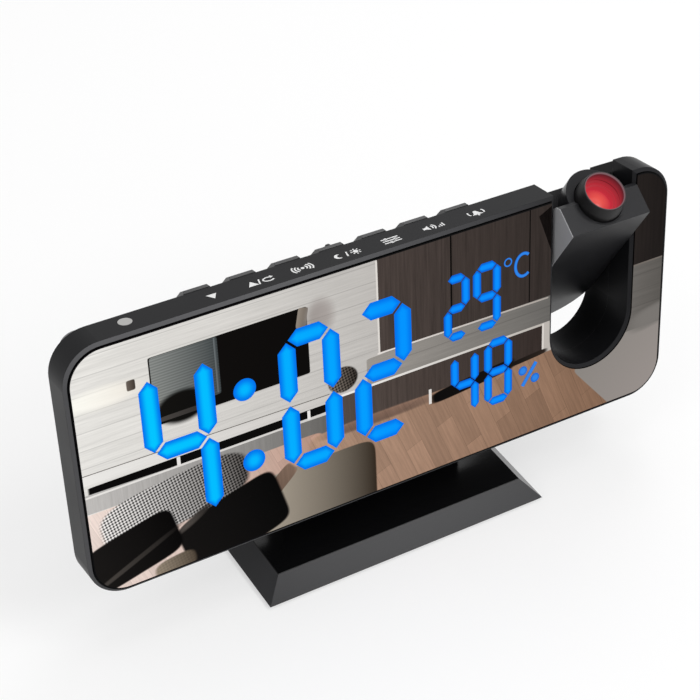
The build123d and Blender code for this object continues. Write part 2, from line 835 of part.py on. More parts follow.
with BuildPart() as speaker:
    with BuildSketch(face.offset(-back_inner + gasket_thickness)):
        with Locations(speaker_spot):
            Circle(speaker_radius)
    with BuildSketch(face.offset(-back_inner + gasket_thickness + speaker_rim)):
        with Locations(speaker_spot):
            Circle(magnet_radius)
    loft()
    with BuildSketch(face.offset(-back_inner + gasket_thickness + speaker_rim)):
        with Locations(speaker_spot):
            Circle(magnet_radius)
    extrude(amount=magnet_height)
speaker.part.label = "speaker"
export_step(speaker.part, "parts/speaker.step")

# ---- back-up battery: cup, contacts, coin cell and a cap with a coin slot ----
with BuildPart() as battery_cup:
    cell_back = housing_depth - cap_thickness - slip
    cell_front = cell_back - cell_thickness
    cup_floor = cell_front - contact_thickness
    with BuildSketch(face.offset(-back_inner)):
        with Locations(battery_spot):
            Circle(cap_radius + running_gap + cell_cup_wall)
    extrude(amount=back_inner - cup_floor + cell_cup_floor)
    with BuildSketch(face.offset(-back_inner)):
        with Locations(battery_spot):
            Circle(cell_radius + running_gap)
    extrude(amount=back_inner - cup_floor, mode=Mode.SUBTRACT)
battery_cup.part.label = "battery_cup"
export_step(battery_cup.part, "parts/battery_cup.step")

with BuildPart() as battery_contact:
    with BuildSketch(face.offset(-cup_floor)):
        with Locations(battery_spot):
            Circle(contact_radius)
    extrude(amount=-contact_thickness)
battery_contact.part.label = "battery_contact"
export_step(battery_contact.part, "parts/battery_contact.step")

with BuildPart() as coin_cell:
    with BuildSketch(face.offset(-cell_front)):
        with Locations(battery_spot):
            Circle(cell_radius)
    extrude(amount=-cell_thickness)
coin_cell.part.label = "coin_cell"
export_step(coin_cell.part, "parts/coin_cell.step")

with BuildPart() as battery_cap:
    with BuildSketch(face.offset(-housing_depth)):
        with Locations(battery_spot):
            Circle(cap_radius)
    extrude(amount=cap_thickness)
    with BuildSketch(face.offset(-housing_depth)):
        with Locations(battery_spot):
            SlotOverall(coin_slot_length, coin_slot_width)
    extrude(amount=coin_slot_depth, mode=Mode.SUBTRACT)
battery_cap.part.label = "battery_cap"
export_step(battery_cap.part, "parts/battery_cap.step")

# ---- main board with the power and charging sockets ----
with BuildPart() as main_board:
    with BuildSketch(face.offset(-main_board_back)):
        with Locations(main_board_spot):
            Rectangle(main_board_length, main_board_height)
        with Locations(*main_board_screws):
            Circle(screw_radius + screw_clearance, mode=Mode.SUBTRACT)
    extrude(amount=board_thickness)
main_board.part.label = "main_board"
export_step(main_board.part, "parts/main_board.step")

with BuildPart() as main_board_fixings:
    with BuildSketch(face.offset(-main_board_back + board_thickness)):
        with Locations(*main_board_screws):
            Circle(board_screw_head_radius)
    extrude(amount=screw_head_height / 2)
    with BuildSketch(face.offset(-main_board_back + board_thickness)):
        with Locations(*main_board_screws):
            Circle(screw_radius)
    extrude(amount=-screw_engagement)
main_board_fixings.part.label = "main_board_fixings"
export_step(main_board_fixings.part, "parts/main_board_fixings.step")

with BuildPart() as power_socket:
    with BuildSketch(face.offset(-main_board_back)):
        with Locations(power_spot):
            Rectangle(power_size, power_size)
    extrude(amount=-(back_inner - slip - main_board_back))
    with BuildSketch(face.offset(-back_inner + slip)):
        with Locations(power_spot):
            Circle(power_bore_radius)
            Circle(power_pin_radius, mode=Mode.SUBTRACT)
    extrude(amount=power_bore_depth - wall, mode=Mode.SUBTRACT)
power_socket.part.label = "power_socket"
export_step(power_socket.part, "parts/power_socket.step")

with BuildPart() as usb_socket:
    with BuildSketch(face.offset(-main_board_back)):
        with Locations(usb_spot):
            Rectangle(*usb_size)
    extrude(amount=-(housing_depth - slip - main_board_back))
    with BuildSketch(face.offset(-housing_depth + slip)):
        with Locations(usb_spot):
            Rectangle(usb_size[0] - 2 * usb_wall, usb_size[1] - 2 * usb_wall)
        with Locations((usb_spot[0], usb_spot[1] + usb_tongue[1] / 2)):
            Rectangle(*usb_tongue, mode=Mode.SUBTRACT)
    extrude(amount=usb_depth, mode=Mode.SUBTRACT)
usb_socket.part.label = "usb_socket"
export_step(usb_socket.part, "parts/usb_socket.step")

with BuildPart() as climate_sensor:
    with BuildSketch(face.offset(-board_back)):
        with Locations(vent_spot):
            Rectangle(climate_sensor_size[0], climate_sensor_size[1])
    extrude(amount=-climate_sensor_size[2])
climate_sensor.part.label = "climate_sensor"
export_step(climate_sensor.part, "parts/climate_sensor.step")


# ---- projector arm ----
def arm_form(inset):
    """Faceted arm with a round tail, every face moved in by inset."""
    with BuildPart() as form:
        with BuildSketch(arm_across(-arm_half + inset)):
            Polygon(
                (-arm_tail - arm_wall, -arm_back),
                (-arm_tail - arm_wall, arm_front),
                arm_ridge,
                arm_peak,
                arm_peak_back,
                arm_shelf,
                (arm_shelf[0], -arm_back),
            )
            if inset:
                offset(amount=-inset, kind=Kind.INTERSECTION)
        extrude(amount=2 * (arm_half - inset))
        with BuildSketch(arm):
            with Locations((0, arm_half - arm_tail)):
                Circle(arm_half - inset)
            with Locations((0, arm_half - arm_tail + height / 2)):
                Rectangle(2 * (arm_half - inset), height)
        extrude(amount=2 * arm_front, both=True, mode=Mode.INTERSECT)
    return form.part


with BuildPart() as projector_case:
    add(arm_form(0))
    with BuildSketch(lens_level(web_low)):
        with Locations((0, lens_axis_f - collar_axis_f)):
            Circle(collar_radius)
    extrude(amount=collar_top - web_low)
    add(arm_form(arm_wall), mode=Mode.SUBTRACT)
    # web across the case that locates the barrel
    with BuildSketch(lens_level(web_low)):
        with Locations((0, lens_axis_f - collar_axis_f)):
            Rectangle(2 * arm_half - arm_wall, arm_front + arm_back - arm_wall)
    extrude(amount=web_thickness)
    with BuildSketch(lens_level(web_low + web_thickness)):
        with Locations((0, lens_axis_f - collar_axis_f)):
            Circle(collar_radius)
    extrude(amount=collar_top - web_low - web_thickness)
    # back opening with a rebate for the cover
    with BuildSketch(arm.offset(-arm_back)):
        with Locations((0, arm_half - arm_tail)):
            Circle(arm_half - cover_lip)
        with Locations((0, (arm_half - arm_tail + cover_top) / 2)):
            Rectangle(2 * (arm_half - cover_lip), cover_top - arm_half + arm_tail)
    extrude(amount=cover_thickness, mode=Mode.SUBTRACT)
    with BuildSketch(arm.offset(-arm_back)):
        with Locations((0, arm_half - arm_tail)):
            Circle(arm_half - arm_wall)
        with Locations((0, (arm_half - arm_tail + web_low) / 2)):
            Rectangle(2 * (arm_half - arm_wall), web_low - arm_half + arm_tail)
    extrude(amount=arm_wall, mode=Mode.SUBTRACT)
    # bore for the focus ring, and the barrel's hole in the web
    with BuildSketch(lens_level(web_low + web_thickness)):
        Circle(focus_outer_radius + collar_gap)
    extrude(amount=collar_top, mode=Mode.SUBTRACT)
    with BuildSketch(lens_level(web_low)):
        Circle(barrel_radius + slip)
    extrude(amount=web_thickness, mode=Mode.SUBTRACT)
    # screw bosses behind the front wall
    with BuildSketch(arm.offset(cover_thickness - arm_back)):
        with Locations(*arm_screw_spots):
            Circle(arm_boss_radius)
    extrude(amount=arm_back + arm_front - arm_wall - cover_thickness)
    with BuildSketch(arm.offset(cover_thickness - arm_back)):
        with Locations(*arm_screw_spots):
            Circle(arm_screw_radius)
    extrude(amount=arm_back, mode=Mode.SUBTRACT)
    # shaft holes through both sides
    with BuildSketch(arm_across(-arm_half)):
        Circle(shaft_radius)
    extrude(amount=2 * arm_half, mode=Mode.SUBTRACT)
projector_case.part.label = "projector_case"
export_step(projector_case.part, "parts/projector_case.step")

with BuildPart() as projector_cover:
    with BuildSketch(arm.offset(-arm_back)):
        with Locations((0, arm_half - arm_tail)):
            Circle(arm_half - cover_lip - slip)
        with Locations((0, (arm_half - arm_tail + cover_top - slip) / 2)):
            Rectangle(2 * (arm_half - cover_lip - slip), cover_top - slip - arm_half + arm_tail)
    extrude(amount=cover_thickness)
    with BuildSketch(arm.offset(-arm_back)):
        with Locations(*arm_screw_spots):
            Circle(arm_screw_radius + screw_clearance)
    extrude(amount=cover_thickness, mode=Mode.SUBTRACT)
    with BuildSketch(arm.offset(-arm_back)):
        with Locations(*arm_screw_spots):
            Circle(arm_screw_head_radius + screw_clearance)
    extrude(amount=arm_screw_head_height, mode=Mode.SUBTRACT)
projector_cover.part.label = "projector_cover"
export_step(projector_cover.part, "parts/projector_cover.step")

with BuildPart() as projector_screws:
    with BuildSketch(arm.offset(-arm_back)):
        with Locations(*arm_screw_spots):
            Circle(arm_screw_head_radius)
    extrude(amount=arm_screw_head_height)
    with BuildSketch(arm.offset(-arm_back + arm_screw_head_height)):
        with Locations(*arm_screw_spots):
            Circle(arm_screw_radius)
    extrude(amount=arm_back - arm_screw_head_height)
projector_screws.part.label = "projector_screws"
export_step(projector_screws.part, "parts/projector_screws.step")


# ---- optics ----
def dome_lens(bottom, radius, rim, dome):
    """Lens with a short cylindrical rim and a dome each side, about the lens axis."""
    with BuildPart() as lens:
        with BuildSketch(Plane(lens_level(bottom).origin, x_dir=(1, 0, 0), z_dir=arm.z_dir)):
            with BuildLine():
                TangentArc((0, 0), (radius, dome), tangent=(1, 0))
                Line((radius, dome), (radius, rim + dome))
                TangentArc((0, rim + 2 * dome), (radius, rim + dome), tangent=(1, 0))
                Line((0, rim + 2 * dome), (0, 0))
            make_face()
        revolve(axis=Axis(lens_level(bottom).origin, arm.y_dir))
    return lens


with BuildPart() as lens_barrel:
    with BuildSketch(lens_level(barrel_bottom)):
        Circle(barrel_radius)
    extrude(amount=barrel_top - barrel_bottom)
    with BuildSketch(lens_level(web_low)):
        Rectangle(barrel_flange[0], barrel_flange[1])
    extrude(amount=-barrel_flange[2])
    with BuildSketch(lens_level(barrel_bottom)):
        Circle(barrel_bore)
    extrude(amount=barrel_top - barrel_bottom, mode=Mode.SUBTRACT)
lens_barrel.part.label = "lens_barrel"
export_step(lens_barrel.part, "parts/lens_barrel.step")

with BuildPart() as focus_ring:
    # grip round the barrel, then a thin hood that narrows above the barrel's end
    with BuildSketch(Plane(lens_level(0).origin, x_dir=(1, 0, 0), z_dir=arm.z_dir)):
        Polygon(
            (focus_inner_radius, focus_bottom),
            (focus_outer_radius, focus_bottom),
            (focus_outer_radius, focus_hood),
            (focus_hood_bore + focus_hood_wall, focus_top),
            (focus_hood_bore, focus_top),
            (focus_hood_bore, focus_hood),
            (focus_inner_radius, focus_hood),
        )
    revolve(axis=Axis(lens_level(0).origin, arm.y_dir))
    crown = focus_ring.faces().sort_by(Axis(arm.origin, arm.y_dir))[-1]
    fillet(crown.edges(), focus_edge_round)
focus_ring.part.label = "focus_ring"
export_step(focus_ring.part, "parts/focus_ring.step")

with BuildPart() as lens_cell:
    with BuildSketch(lens_level(cell_tube_bottom)):
        Circle(cell_tube_radius)
        Circle(cell_tube_bore, mode=Mode.SUBTRACT)
    extrude(amount=cell_tube_length)
lens_cell.part.label = "lens_cell"
export_step(lens_cell.part, "parts/lens_cell.step")

projection_lens = dome_lens(
    cell_tube_bottom + (cell_tube_length - lens_rim) / 2 - lens_dome, lens_radius, lens_rim, lens_dome
)
projection_lens.part.label = "projection_lens"
export_step(projection_lens.part, "parts/projection_lens.step")

condenser_lens = dome_lens(
    condenser_bottom, barrel_bore - slip / 2, lens_rim, (condenser_thickness - lens_rim) / 2
)
condenser_lens.part.label = "condenser_lens"
export_step(condenser_lens.part, "parts/condenser_lens.step")

with BuildPart() as slide_display:
    with BuildSketch(lens_level(slide_bottom)):
        Circle(barrel_bore - slip / 2)
    extrude(amount=slide_thickness)
slide_display.part.label = "slide_display"
export_step(slide_display.part, "parts/slide_display.step")

with BuildPart() as lamp_board:
    with BuildSketch(lens_level(barrel_bottom)):
        Circle(barrel_radius)
    extrude(amount=-lamp_board_thickness)
lamp_board.part.label = "lamp_board"
export_step(lamp_board.part, "parts/lamp_board.step")

with BuildPart() as lamp:
    with BuildSketch(lens_level(barrel_bottom)):
        Circle(lamp_radius)
    extrude(amount=lamp_length)
    tip = lamp.faces().sort_by(Axis(arm.origin, arm.y_dir))[-1]
    fillet(tip.edges(), lamp_dome_round)
lamp.part.label = "lamp"
export_step(lamp.part, "parts/lamp.step")

# ---- pivot: hollow shafts, bushes between frame and shell, spring washers and clips ----
wall_face = notch_half - arm_side_gap - arm_wall
bush_end = notch_half + bush_length
shaft_tip = bush_end + washer_thickness + clip_thickness + shaft_end
with BuildPart() as pivot_shafts:
    for side in (-1, 1):
        inner = Plane(arm.from_local_coords((side * wall_face, 0, 0)), x_dir=arm.y_dir, z_dir=(side, 0, 0))
        with BuildSketch(inner):
            Circle(shaft_radius)
            Circle(shaft_bore, mode=Mode.SUBTRACT)
        extrude(amount=shaft_tip - wall_face)
        with BuildSketch(inner):
            Circle(shaft_head_radius)
            Circle(shaft_bore, mode=Mode.SUBTRACT)
        extrude(amount=-shaft_head_thickness)
pivot_shafts.part.label = "pivot_shafts"
export_step(pivot_shafts.part, "parts/pivot_shafts.step")


def pivot_rings(start, thickness, outer, inner):
    """A ring on each side of the arm, starting at start from the notch's middle."""
    with BuildPart() as rings:
        for side in (-1, 1):
            place = arm.from_local_coords((side * start, 0, 0))
            with BuildSketch(Plane(place, x_dir=arm.y_dir, z_dir=(side, 0, 0))):
                Circle(outer)
                Circle(inner, mode=Mode.SUBTRACT)
            extrude(amount=thickness)
    return rings


pivot_bushes = pivot_rings(notch_half, bush_length, bush_radius, shaft_radius + bush_clearance)
pivot_bushes.part.label = "pivot_bushes"
export_step(pivot_bushes.part, "parts/pivot_bushes.step")

spring_washers = pivot_rings(
    bush_end + slip, washer_thickness - slip, bush_radius, shaft_radius + bush_clearance
)
spring_washers.part.label = "spring_washers"
export_step(spring_washers.part, "parts/spring_washers.step")

pivot_clips = pivot_rings(bush_end + washer_thickness, clip_thickness, clip_radius, shaft_radius)
pivot_clips.part.label = "pivot_clips"
export_step(pivot_clips.part, "parts/pivot_clips.step")

# ---- foot: bevelled shell, steel weight and rubber pad ----
with BuildPart() as foot_shell:
    with BuildSketch(Plane.XY.offset(pad_thickness)):
        Rectangle(foot_width, foot_depth)
    with BuildSketch(Plane.XY.offset(foot_top)):
        Rectangle(foot_width - 2 * foot_bevel_inset, foot_depth - 2 * foot_bevel_inset)
    loft()
    with BuildSketch(Plane.XY.offset(pad_thickness)):
        Rectangle(foot_width - 3 * foot_wall, foot_depth - 3 * foot_wall)
    with BuildSketch(Plane.XY.offset(foot_top - foot_wall)):
        Rectangle(
            foot_width - 2 * foot_bevel_inset - foot_wall,
            foot_depth - 2 * foot_bevel_inset - foot_wall,
        )
    loft(mode=Mode.SUBTRACT)
    with BuildSketch(Plane.XY.offset(foot_top)):
        with Locations(*foot_screw_spots):
            Circle(screw_radius + screw_clearance)
    extrude(amount=-foot_wall, mode=Mode.SUBTRACT)
foot_shell.part.label = "foot_shell"
export_step(foot_shell.part, "parts/foot_shell.step")

with BuildPart() as foot_pad:
    with BuildSketch(Plane.XY):
        Rectangle(foot_width - 2 * pad_inset, foot_depth - 2 * pad_inset)
    extrude(amount=pad_thickness)
foot_pad.part.label = "foot_pad"
export_step(foot_pad.part, "parts/foot_pad.step")

with BuildPart() as foot_weight:
    with BuildSketch(Plane.XY.offset(pad_thickness)):
        Rectangle(weight_size[0], weight_size[1])
    extrude(amount=weight_size[2])
foot_weight.part.label = "foot_weight"
export_step(foot_weight.part, "parts/foot_weight.step")

# ---- neck: block from the foot up to the underside of the rear shell ----
with BuildPart() as neck:
    top_front = at(0, shell_inset, -neck_top_front)
    top_back = at(0, shell_inset, -neck_top_back)
    with BuildSketch(Plane((-neck_width / 2, 0, 0), x_dir=(0, 1, 0), z_dir=(1, 0, 0))):
        Polygon(
            (front_y + neck_front, foot_top),
            (front_y + neck_back, foot_top),
            (top_back.Y, top_back.Z),
            (top_front.Y, top_front.Z),
        )
    extrude(amount=neck_width)
    with BuildSketch(Plane((-neck_pocket / 2, 0, 0), x_dir=(0, 1, 0), z_dir=(1, 0, 0))):
        Polygon(
            (front_y + neck_front + neck_wall, foot_top),
            (front_y + neck_back - neck_wall, foot_top),
            (top_back.Y - neck_wall, top_back.Z - neck_wall),
            (top_front.Y + neck_wall, top_front.Z - neck_wall),
        )
    extrude(amount=neck_pocket, mode=Mode.SUBTRACT)
    with BuildSketch(level(shell_inset)):
        with Locations(*neck_screw_spots):
            Circle(screw_radius + screw_clearance / 2)
    extrude(amount=-neck_screw_length, mode=Mode.SUBTRACT)
    with BuildSketch(Plane.XY.offset(foot_top)):
        with Locations(*foot_screw_spots):
            Circle(screw_radius + screw_clearance / 2)
    extrude(amount=foot_screw_length, mode=Mode.SUBTRACT)
neck.part.label = "neck"
export_step(neck.part, "parts/neck.step")

with BuildPart() as neck_screws:
    with BuildSketch(level(shell_side)):
        with Locations(*neck_screw_spots):
            Circle(screw_head_radius)
    extrude(amount=screw_head_height)
    with BuildSketch(level(shell_side)):
        with Locations(*neck_screw_spots):
            Circle(screw_radius)
    extrude(amount=-(wall + neck_screw_length - screw_hole_spare))
neck_screws.part.label = "neck_screws"
export_step(neck_screws.part, "parts/neck_screws.step")

with BuildPart() as foot_screws:
    with BuildSketch(Plane.XY.offset(foot_top - foot_wall)):
        with Locations(*foot_screw_spots):
            Circle(screw_head_radius)
    extrude(amount=-screw_head_height)
    with BuildSketch(Plane.XY.offset(foot_top - foot_wall)):
        with Locations(*foot_screw_spots):
            Circle(screw_radius)
    extrude(amount=foot_wall + foot_screw_length - screw_hole_spare)
foot_screws.part.label = "foot_screws"
export_step(foot_screws.part, "parts/foot_screws.step")
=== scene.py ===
import json
import math
import bmesh
import bpy
import numpy as np
from mathutils import Matrix, Vector


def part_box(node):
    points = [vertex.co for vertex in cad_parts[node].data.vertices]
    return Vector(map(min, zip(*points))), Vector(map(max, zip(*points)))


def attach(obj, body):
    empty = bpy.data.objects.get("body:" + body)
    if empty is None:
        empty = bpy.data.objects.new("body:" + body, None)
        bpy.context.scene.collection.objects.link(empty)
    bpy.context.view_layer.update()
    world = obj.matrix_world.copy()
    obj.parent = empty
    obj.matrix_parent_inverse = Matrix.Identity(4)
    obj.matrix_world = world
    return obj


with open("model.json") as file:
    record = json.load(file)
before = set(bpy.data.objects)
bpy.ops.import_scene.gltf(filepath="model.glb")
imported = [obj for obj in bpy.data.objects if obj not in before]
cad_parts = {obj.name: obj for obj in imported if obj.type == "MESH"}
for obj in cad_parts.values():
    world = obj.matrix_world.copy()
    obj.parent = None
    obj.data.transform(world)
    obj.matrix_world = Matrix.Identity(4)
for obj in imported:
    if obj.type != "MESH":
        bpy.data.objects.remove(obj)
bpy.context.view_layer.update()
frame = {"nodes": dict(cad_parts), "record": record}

nodes = frame["nodes"]
mm = 0.001
print("frame loaded,", len(nodes), "nodes")

# where the leaning housing stands, in millimetres and degrees
housing = {
    "leanDegrees": 9.76,
    "footAhead": 8.91,  # foot's front edge ahead of the mirror's lower edge
    "edgeHeight": 18.04,  # mirror's lower edge above the table
    "width": 187.0,
    "height": 75.3,
}
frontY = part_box("foot_shell")[0].y / mm + housing["footAhead"]
lean = math.radians(housing["leanDegrees"])


def facePoints(x, v, n):
    # x across, v up the slope, n out of the mirror, all in mm, to metres in the frame
    y = frontY + v * math.sin(lean) - n * math.cos(lean)
    z = housing["edgeHeight"] + v * math.cos(lean) + n * math.sin(lean)
    return np.stack(np.broadcast_arrays(x, y, z), -1) * mm


def linear(hexColour):
    # sRGB hex to linear colour with alpha
    parts = [int(hexColour[i:i + 2], 16) / 255 for i in (1, 3, 5)]
    return [part / 12.92 if part <= 0.04045 else ((part + 0.055) / 1.055) ** 2.4 for part in parts] + [1.0]


def addNode(tree, kind, settings=None, inputs=None):
    node = tree.nodes.new(kind)
    for name, value in (settings or {}).items():
        setattr(node, name, value)
    for key, value in (inputs or {}).items():
        if isinstance(value, bpy.types.Node):
            value = value.outputs[0]
        if isinstance(value, bpy.types.NodeSocket):
            tree.links.new(value, node.inputs[key])
        else:
            node.inputs[key].default_value = value
    return node


def newMaterial(name):
    material = bpy.data.materials.new(name)
    material.use_nodes = True
    tree = material.node_tree
    tree.nodes.clear()
    return material, tree


def spotNoise(tree, sizeMm, detail):
    # noise that stays with the object, with spots of about this size
    where = addNode(tree, "ShaderNodeTexCoord")
    return addNode(tree, "ShaderNodeTexNoise", {}, {
        "Vector": where.outputs["Object"], "Scale": 1 / (sizeMm * mm), "Detail": detail})


# each moulded finish: its colour, its gloss, the grain left by the mould and how far edges are rounded
finishes = {
    "mouldedAbsSatin": {  # black ABS from a fine spark-eroded mould: soft sheen, dark
        "colour": "#141416", "roughness": 0.36, "ior": 1.18, "grainMm": 0.35, "grain": 0.10, "edgeMm": 0.22,
    },
    "mouldedAbsKey": {  # the same ABS, a little smoother where fingers rub
        "colour": "#1c1c1e", "roughness": 0.32, "ior": 1.38, "grainMm": 0.35, "grain": 0.07, "edgeMm": 0.18,
    },
    "polishedAbsFoot": {  # ABS from a polished mould: near-black mirror gloss with crisp bevels
        "colour": "#0a0a0b", "roughness": 0.2, "ior": 1.24, "grainMm": 1.6, "grain": 0.02, "edgeMm": 0.15,
    },
    "mouldedAbsArm": {  # semi-gloss ABS: broad soft highlights over the facets
        "colour": "#1e1e20", "roughness": 0.30, "ior": 1.25, "grainMm": 0.4, "grain": 0.05, "edgeMm": 0.2,
    },
    "mouldedNylonBarrel": {  # matt black nylon round the lens: kills stray light
        "colour": "#0d0c0d", "roughness": 0.48, "ior": 1.35, "grainMm": 0.3, "grain": 0.08, "edgeMm": 0.12,
    },
    "mouldedNylonSocket": {  # dull black nylon of sockets and switches
        "colour": "#18181a", "roughness": 0.55, "ior": 1.4, "grainMm": 0.3, "grain": 0.12, "edgeMm": 0.1,
    },
    "smokedAcrylic": {  # small tinted window: smooth grey dot
        "colour": "#a3a2a0", "roughness": 0.3, "ior": 1.3, "grainMm": 1.0, "grain": 0.01, "edgeMm": 0.1,
    },
    "clearEpoxy": {  # cast body of the light sensor: glassy and pale
        "colour": "#c6cbd0", "roughness": 0.12, "ior": 1.5, "grainMm": 1.0, "grain": 0.01, "edgeMm": 0.1,
    },
    "polycarbonateWhite": {  # opaque white reflector plastic
        "colour": "#e4e3df", "roughness": 0.45, "ior": 1.5, "grainMm": 0.5, "grain": 0.05, "edgeMm": 0.1,
    },
    "foamRubber": {  # closed-cell foam: dull and pitted
        "colour": "#232323", "roughness": 0.9, "ior": 1.4, "grainMm": 0.6, "grain": 0.6, "edgeMm": 0.1,
    },
    "mouldedRubber": {  # pad under the foot
        "colour": "#171717", "roughness": 0.75, "ior": 1.4, "grainMm": 0.8, "grain": 0.35, "edgeMm": 0.15,
    },
    "pressedSpeakerCone": {  # pressed black card: dull and fibrous
        "colour": "#1d1d1e", "roughness": 0.6, "ior": 1.4, "grainMm": 0.8, "grain": 0.3, "edgeMm": 0.15,
    },
    "solderMaskBoard": {  # glass-epoxy board under green lacquer
        "colour": "#15532f", "roughness": 0.35, "ior": 1.5, "grainMm": 0.9, "grain": 0.12, "edgeMm": 0.05,
    },
    "liquidCrystalGlass": {  # slide between the lamp and the lens: dark red glass
        "colour": "#3a1416", "roughness": 0.08, "ior": 1.5, "grainMm": 2.0, "grain": 0.0, "edgeMm": 0.05,
    },
}
# what every moulded plastic shares: depth of its grain, and slow flow marks of the melt
moulding = {
    "grainDepthMm": 0.05,
    "flowMm": 14.0,
    "flowLightens": 1.25,
    "flowAdds": 0.0006,
    "flowRoughens": 0.12,
}
# painted highlights: bands of a piece painted paler than the rest of it where light catches, in mm along one
# axis of the mirror's or the table's coordinates; the rim's fades out along the mirror's lower edge, where
# less light falls
paintedHighlights = {
    "rim": {  # shut-off of the mould round the mirror, with a painted highlight: a thin bright line
        "colour": "#5c5c5e", "roughness": 0.9, "on": "face", "axis": "Z",
        "middleMm": -0.66, "halfMm": 0.33, "fadeMm": (70, 150), "faded": 0.15,
    },
    "armEndHighlight": {  # left end of the projector's arm, paler than its faces: a painted reflection of light from the left
        "colour": "#a6a6a8", "roughness": 0.4, "on": "face", "axis": "X",
        "middleMm": 146.8, "halfMm": 0.2,
    },
    "footBevelHighlight": {  # bevels of the foot, paler than its polished flat: a painted highlight
        "colour": "#2e2e30", "roughness": 0.2, "on": "table", "axis": "Z",
        "middleMm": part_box("foot_shell")[0].z / mm, "halfMm": 5.4,
    },
}


def faceCoordinates(tree):
    # (u, v, n) in mm: along the mirror's lower edge, up its slope and out of its face
    where = addNode(tree, "ShaderNodeTexCoord")
    corner = facePoints(-housing["width"] / 2, 0.0, 0.0)
    return addNode(tree, "ShaderNodeMapping", {"vector_type": "TEXTURE"}, {
        "Vector": where.outputs["Object"], "Location": tuple(corner),
        "Rotation": (math.pi / 2 - lean, 0, 0), "Scale": (mm, mm, mm)})


def tableCoordinates(tree):
    # (x, y, z) in mm, from the middle of the foot's underside
    where = addNode(tree, "ShaderNodeTexCoord")
    return addNode(tree, "ShaderNodeMapping", {"vector_type": "TEXTURE"}, {
        "Vector": where.outputs["Object"], "Scale": (mm, mm, mm)})


def highlightShare(tree, highlight):
    # 1 within the painted highlight's band and 0 elsewhere, then the same with its fade
    coordinates = faceCoordinates(tree) if highlight["on"] == "face" else tableCoordinates(tree)
    parts = addNode(tree, "ShaderNodeSeparateXYZ", {}, {"Vector": coordinates})
    near = addNode(tree, "ShaderNodeMath", {"operation": "COMPARE"}, {
        0: parts.outputs[highlight["axis"]], 1: highlight["middleMm"], 2: highlight["halfMm"]})
    if "fadeMm" not in highlight:
        return near, near
    start, end = highlight["fadeMm"]
    fade = addNode(tree, "ShaderNodeMapRange", {}, {
        "Value": parts.outputs["X"], "From Min": start, "From Max": end,
        "To Min": 1.0, "To Max": highlight["faded"]})
    return near, addNode(tree, "ShaderNodeMath", {"operation": "MULTIPLY"}, {0: near, 1: fade})


def mouldedSurface(tree, finish, grain):
    # bumps of the grain over softened edges
    edge = addNode(tree, "ShaderNodeBevel", {"samples": 4}, {"Radius": finish["edgeMm"] * mm})
    return addNode(tree, "ShaderNodeBump", {}, {
        "Strength": finish["grain"], "Distance": moulding["grainDepthMm"] * mm,
        "Height": grain, "Normal": edge})


def plasticMaterial(name, highlightName=None):
    # one moulded plastic: its grain makes bumps, its flow marks shift colour and roughness a little, and its
    # edges are softened; a named band adds a painted highlight over part of it
    finish = finishes[name]
    material, tree = newMaterial(name + "_" + highlightName if highlightName else name)
    flow = spotNoise(tree, moulding["flowMm"], 2.0)
    dark = linear(finish["colour"])
    light = [min(1.0, part * moulding["flowLightens"] + moulding["flowAdds"]) for part in dark[:3]] + [1.0]
    colour = addNode(tree, "ShaderNodeMix", {"data_type": "RGBA"}, {0: flow, 6: dark, 7: light})
    rough = addNode(tree, "ShaderNodeMapRange", {}, {
        "Value": flow, "To Min": finish["roughness"] * (1 - moulding["flowRoughens"]),
        "To Max": finish["roughness"] * (1 + moulding["flowRoughens"])})
    # a painted highlight: a paler colour and its own roughness over one band of the piece
    if highlightName:
        highlight = paintedHighlights[highlightName]
        near, share = highlightShare(tree, highlight)
        colour = addNode(tree, "ShaderNodeMix", {"data_type": "RGBA"}, {
            0: share, 6: colour.outputs[2], 7: linear(highlight["colour"])})
        rough = addNode(tree, "ShaderNodeMapRange", {}, {
            "Value": near, "To Min": rough, "To Max": highlight["roughness"]})
    shader = addNode(tree, "ShaderNodeBsdfPrincipled", {}, {
        "Base Color": colour.outputs[2], "Roughness": rough, "IOR": finish["ior"],
        "Normal": mouldedSurface(tree, finish, spotNoise(tree, finish["grainMm"], 3.0))})
    addNode(tree, "ShaderNodeOutputMaterial", {}, {"Surface": shader})
    return material


# each metal: its colour, its gloss and how coarse the lines of the tool are
metals = {
    "zincPlatedSteel": {  # screws and clips inside: bluish, with faint turning lines
        "colour": "#b4b6b8", "roughness": 0.28, "lineMm": 0.25,
    },
    "blackOxideSteel": {  # the outer screws: dark, with a dull sheen
        "colour": "#4a4a4c", "roughness": 0.36, "lineMm": 0.25,
    },
    "sinteredBronze": {  # pressed bushes: dull and warm
        "colour": "#b08a55", "roughness": 0.42, "lineMm": 0.5,
    },
}
# what every metal shares: shape, depth and effect of those lines
turning = {
    "fineness": 0.3,
    "squeeze": (1, 1, 12),
    "depthMm": 0.02,
    "strength": 0.12,
    "roughens": 0.3,
}


def metalMaterial(name):
    # turned or pressed metal: stretched noise for the tool's lines
    finish = metals[name]
    material, tree = newMaterial(name)
    where = addNode(tree, "ShaderNodeTexCoord")
    stretch = addNode(tree, "ShaderNodeMapping", {}, {
        "Vector": where.outputs["Object"], "Scale": turning["squeeze"]})
    lines = addNode(tree, "ShaderNodeTexNoise", {}, {
        "Vector": stretch, "Scale": turning["fineness"] / (finish["lineMm"] * mm), "Detail": 4.0})
    rough = addNode(tree, "ShaderNodeMapRange", {}, {
        "Value": lines, "To Min": finish["roughness"] * (1 - turning["roughens"]),
        "To Max": finish["roughness"] * (1 + turning["roughens"])})
    bump = addNode(tree, "ShaderNodeBump", {}, {
        "Strength": turning["strength"], "Distance": turning["depthMm"] * mm, "Height": lines})
    shader = addNode(tree, "ShaderNodeBsdfPrincipled", {}, {
        "Base Color": linear(finish["colour"]), "Metallic": 1.0, "Roughness": rough, "Normal": bump})
    addNode(tree, "ShaderNodeOutputMaterial", {}, {"Surface": shader})
    return material
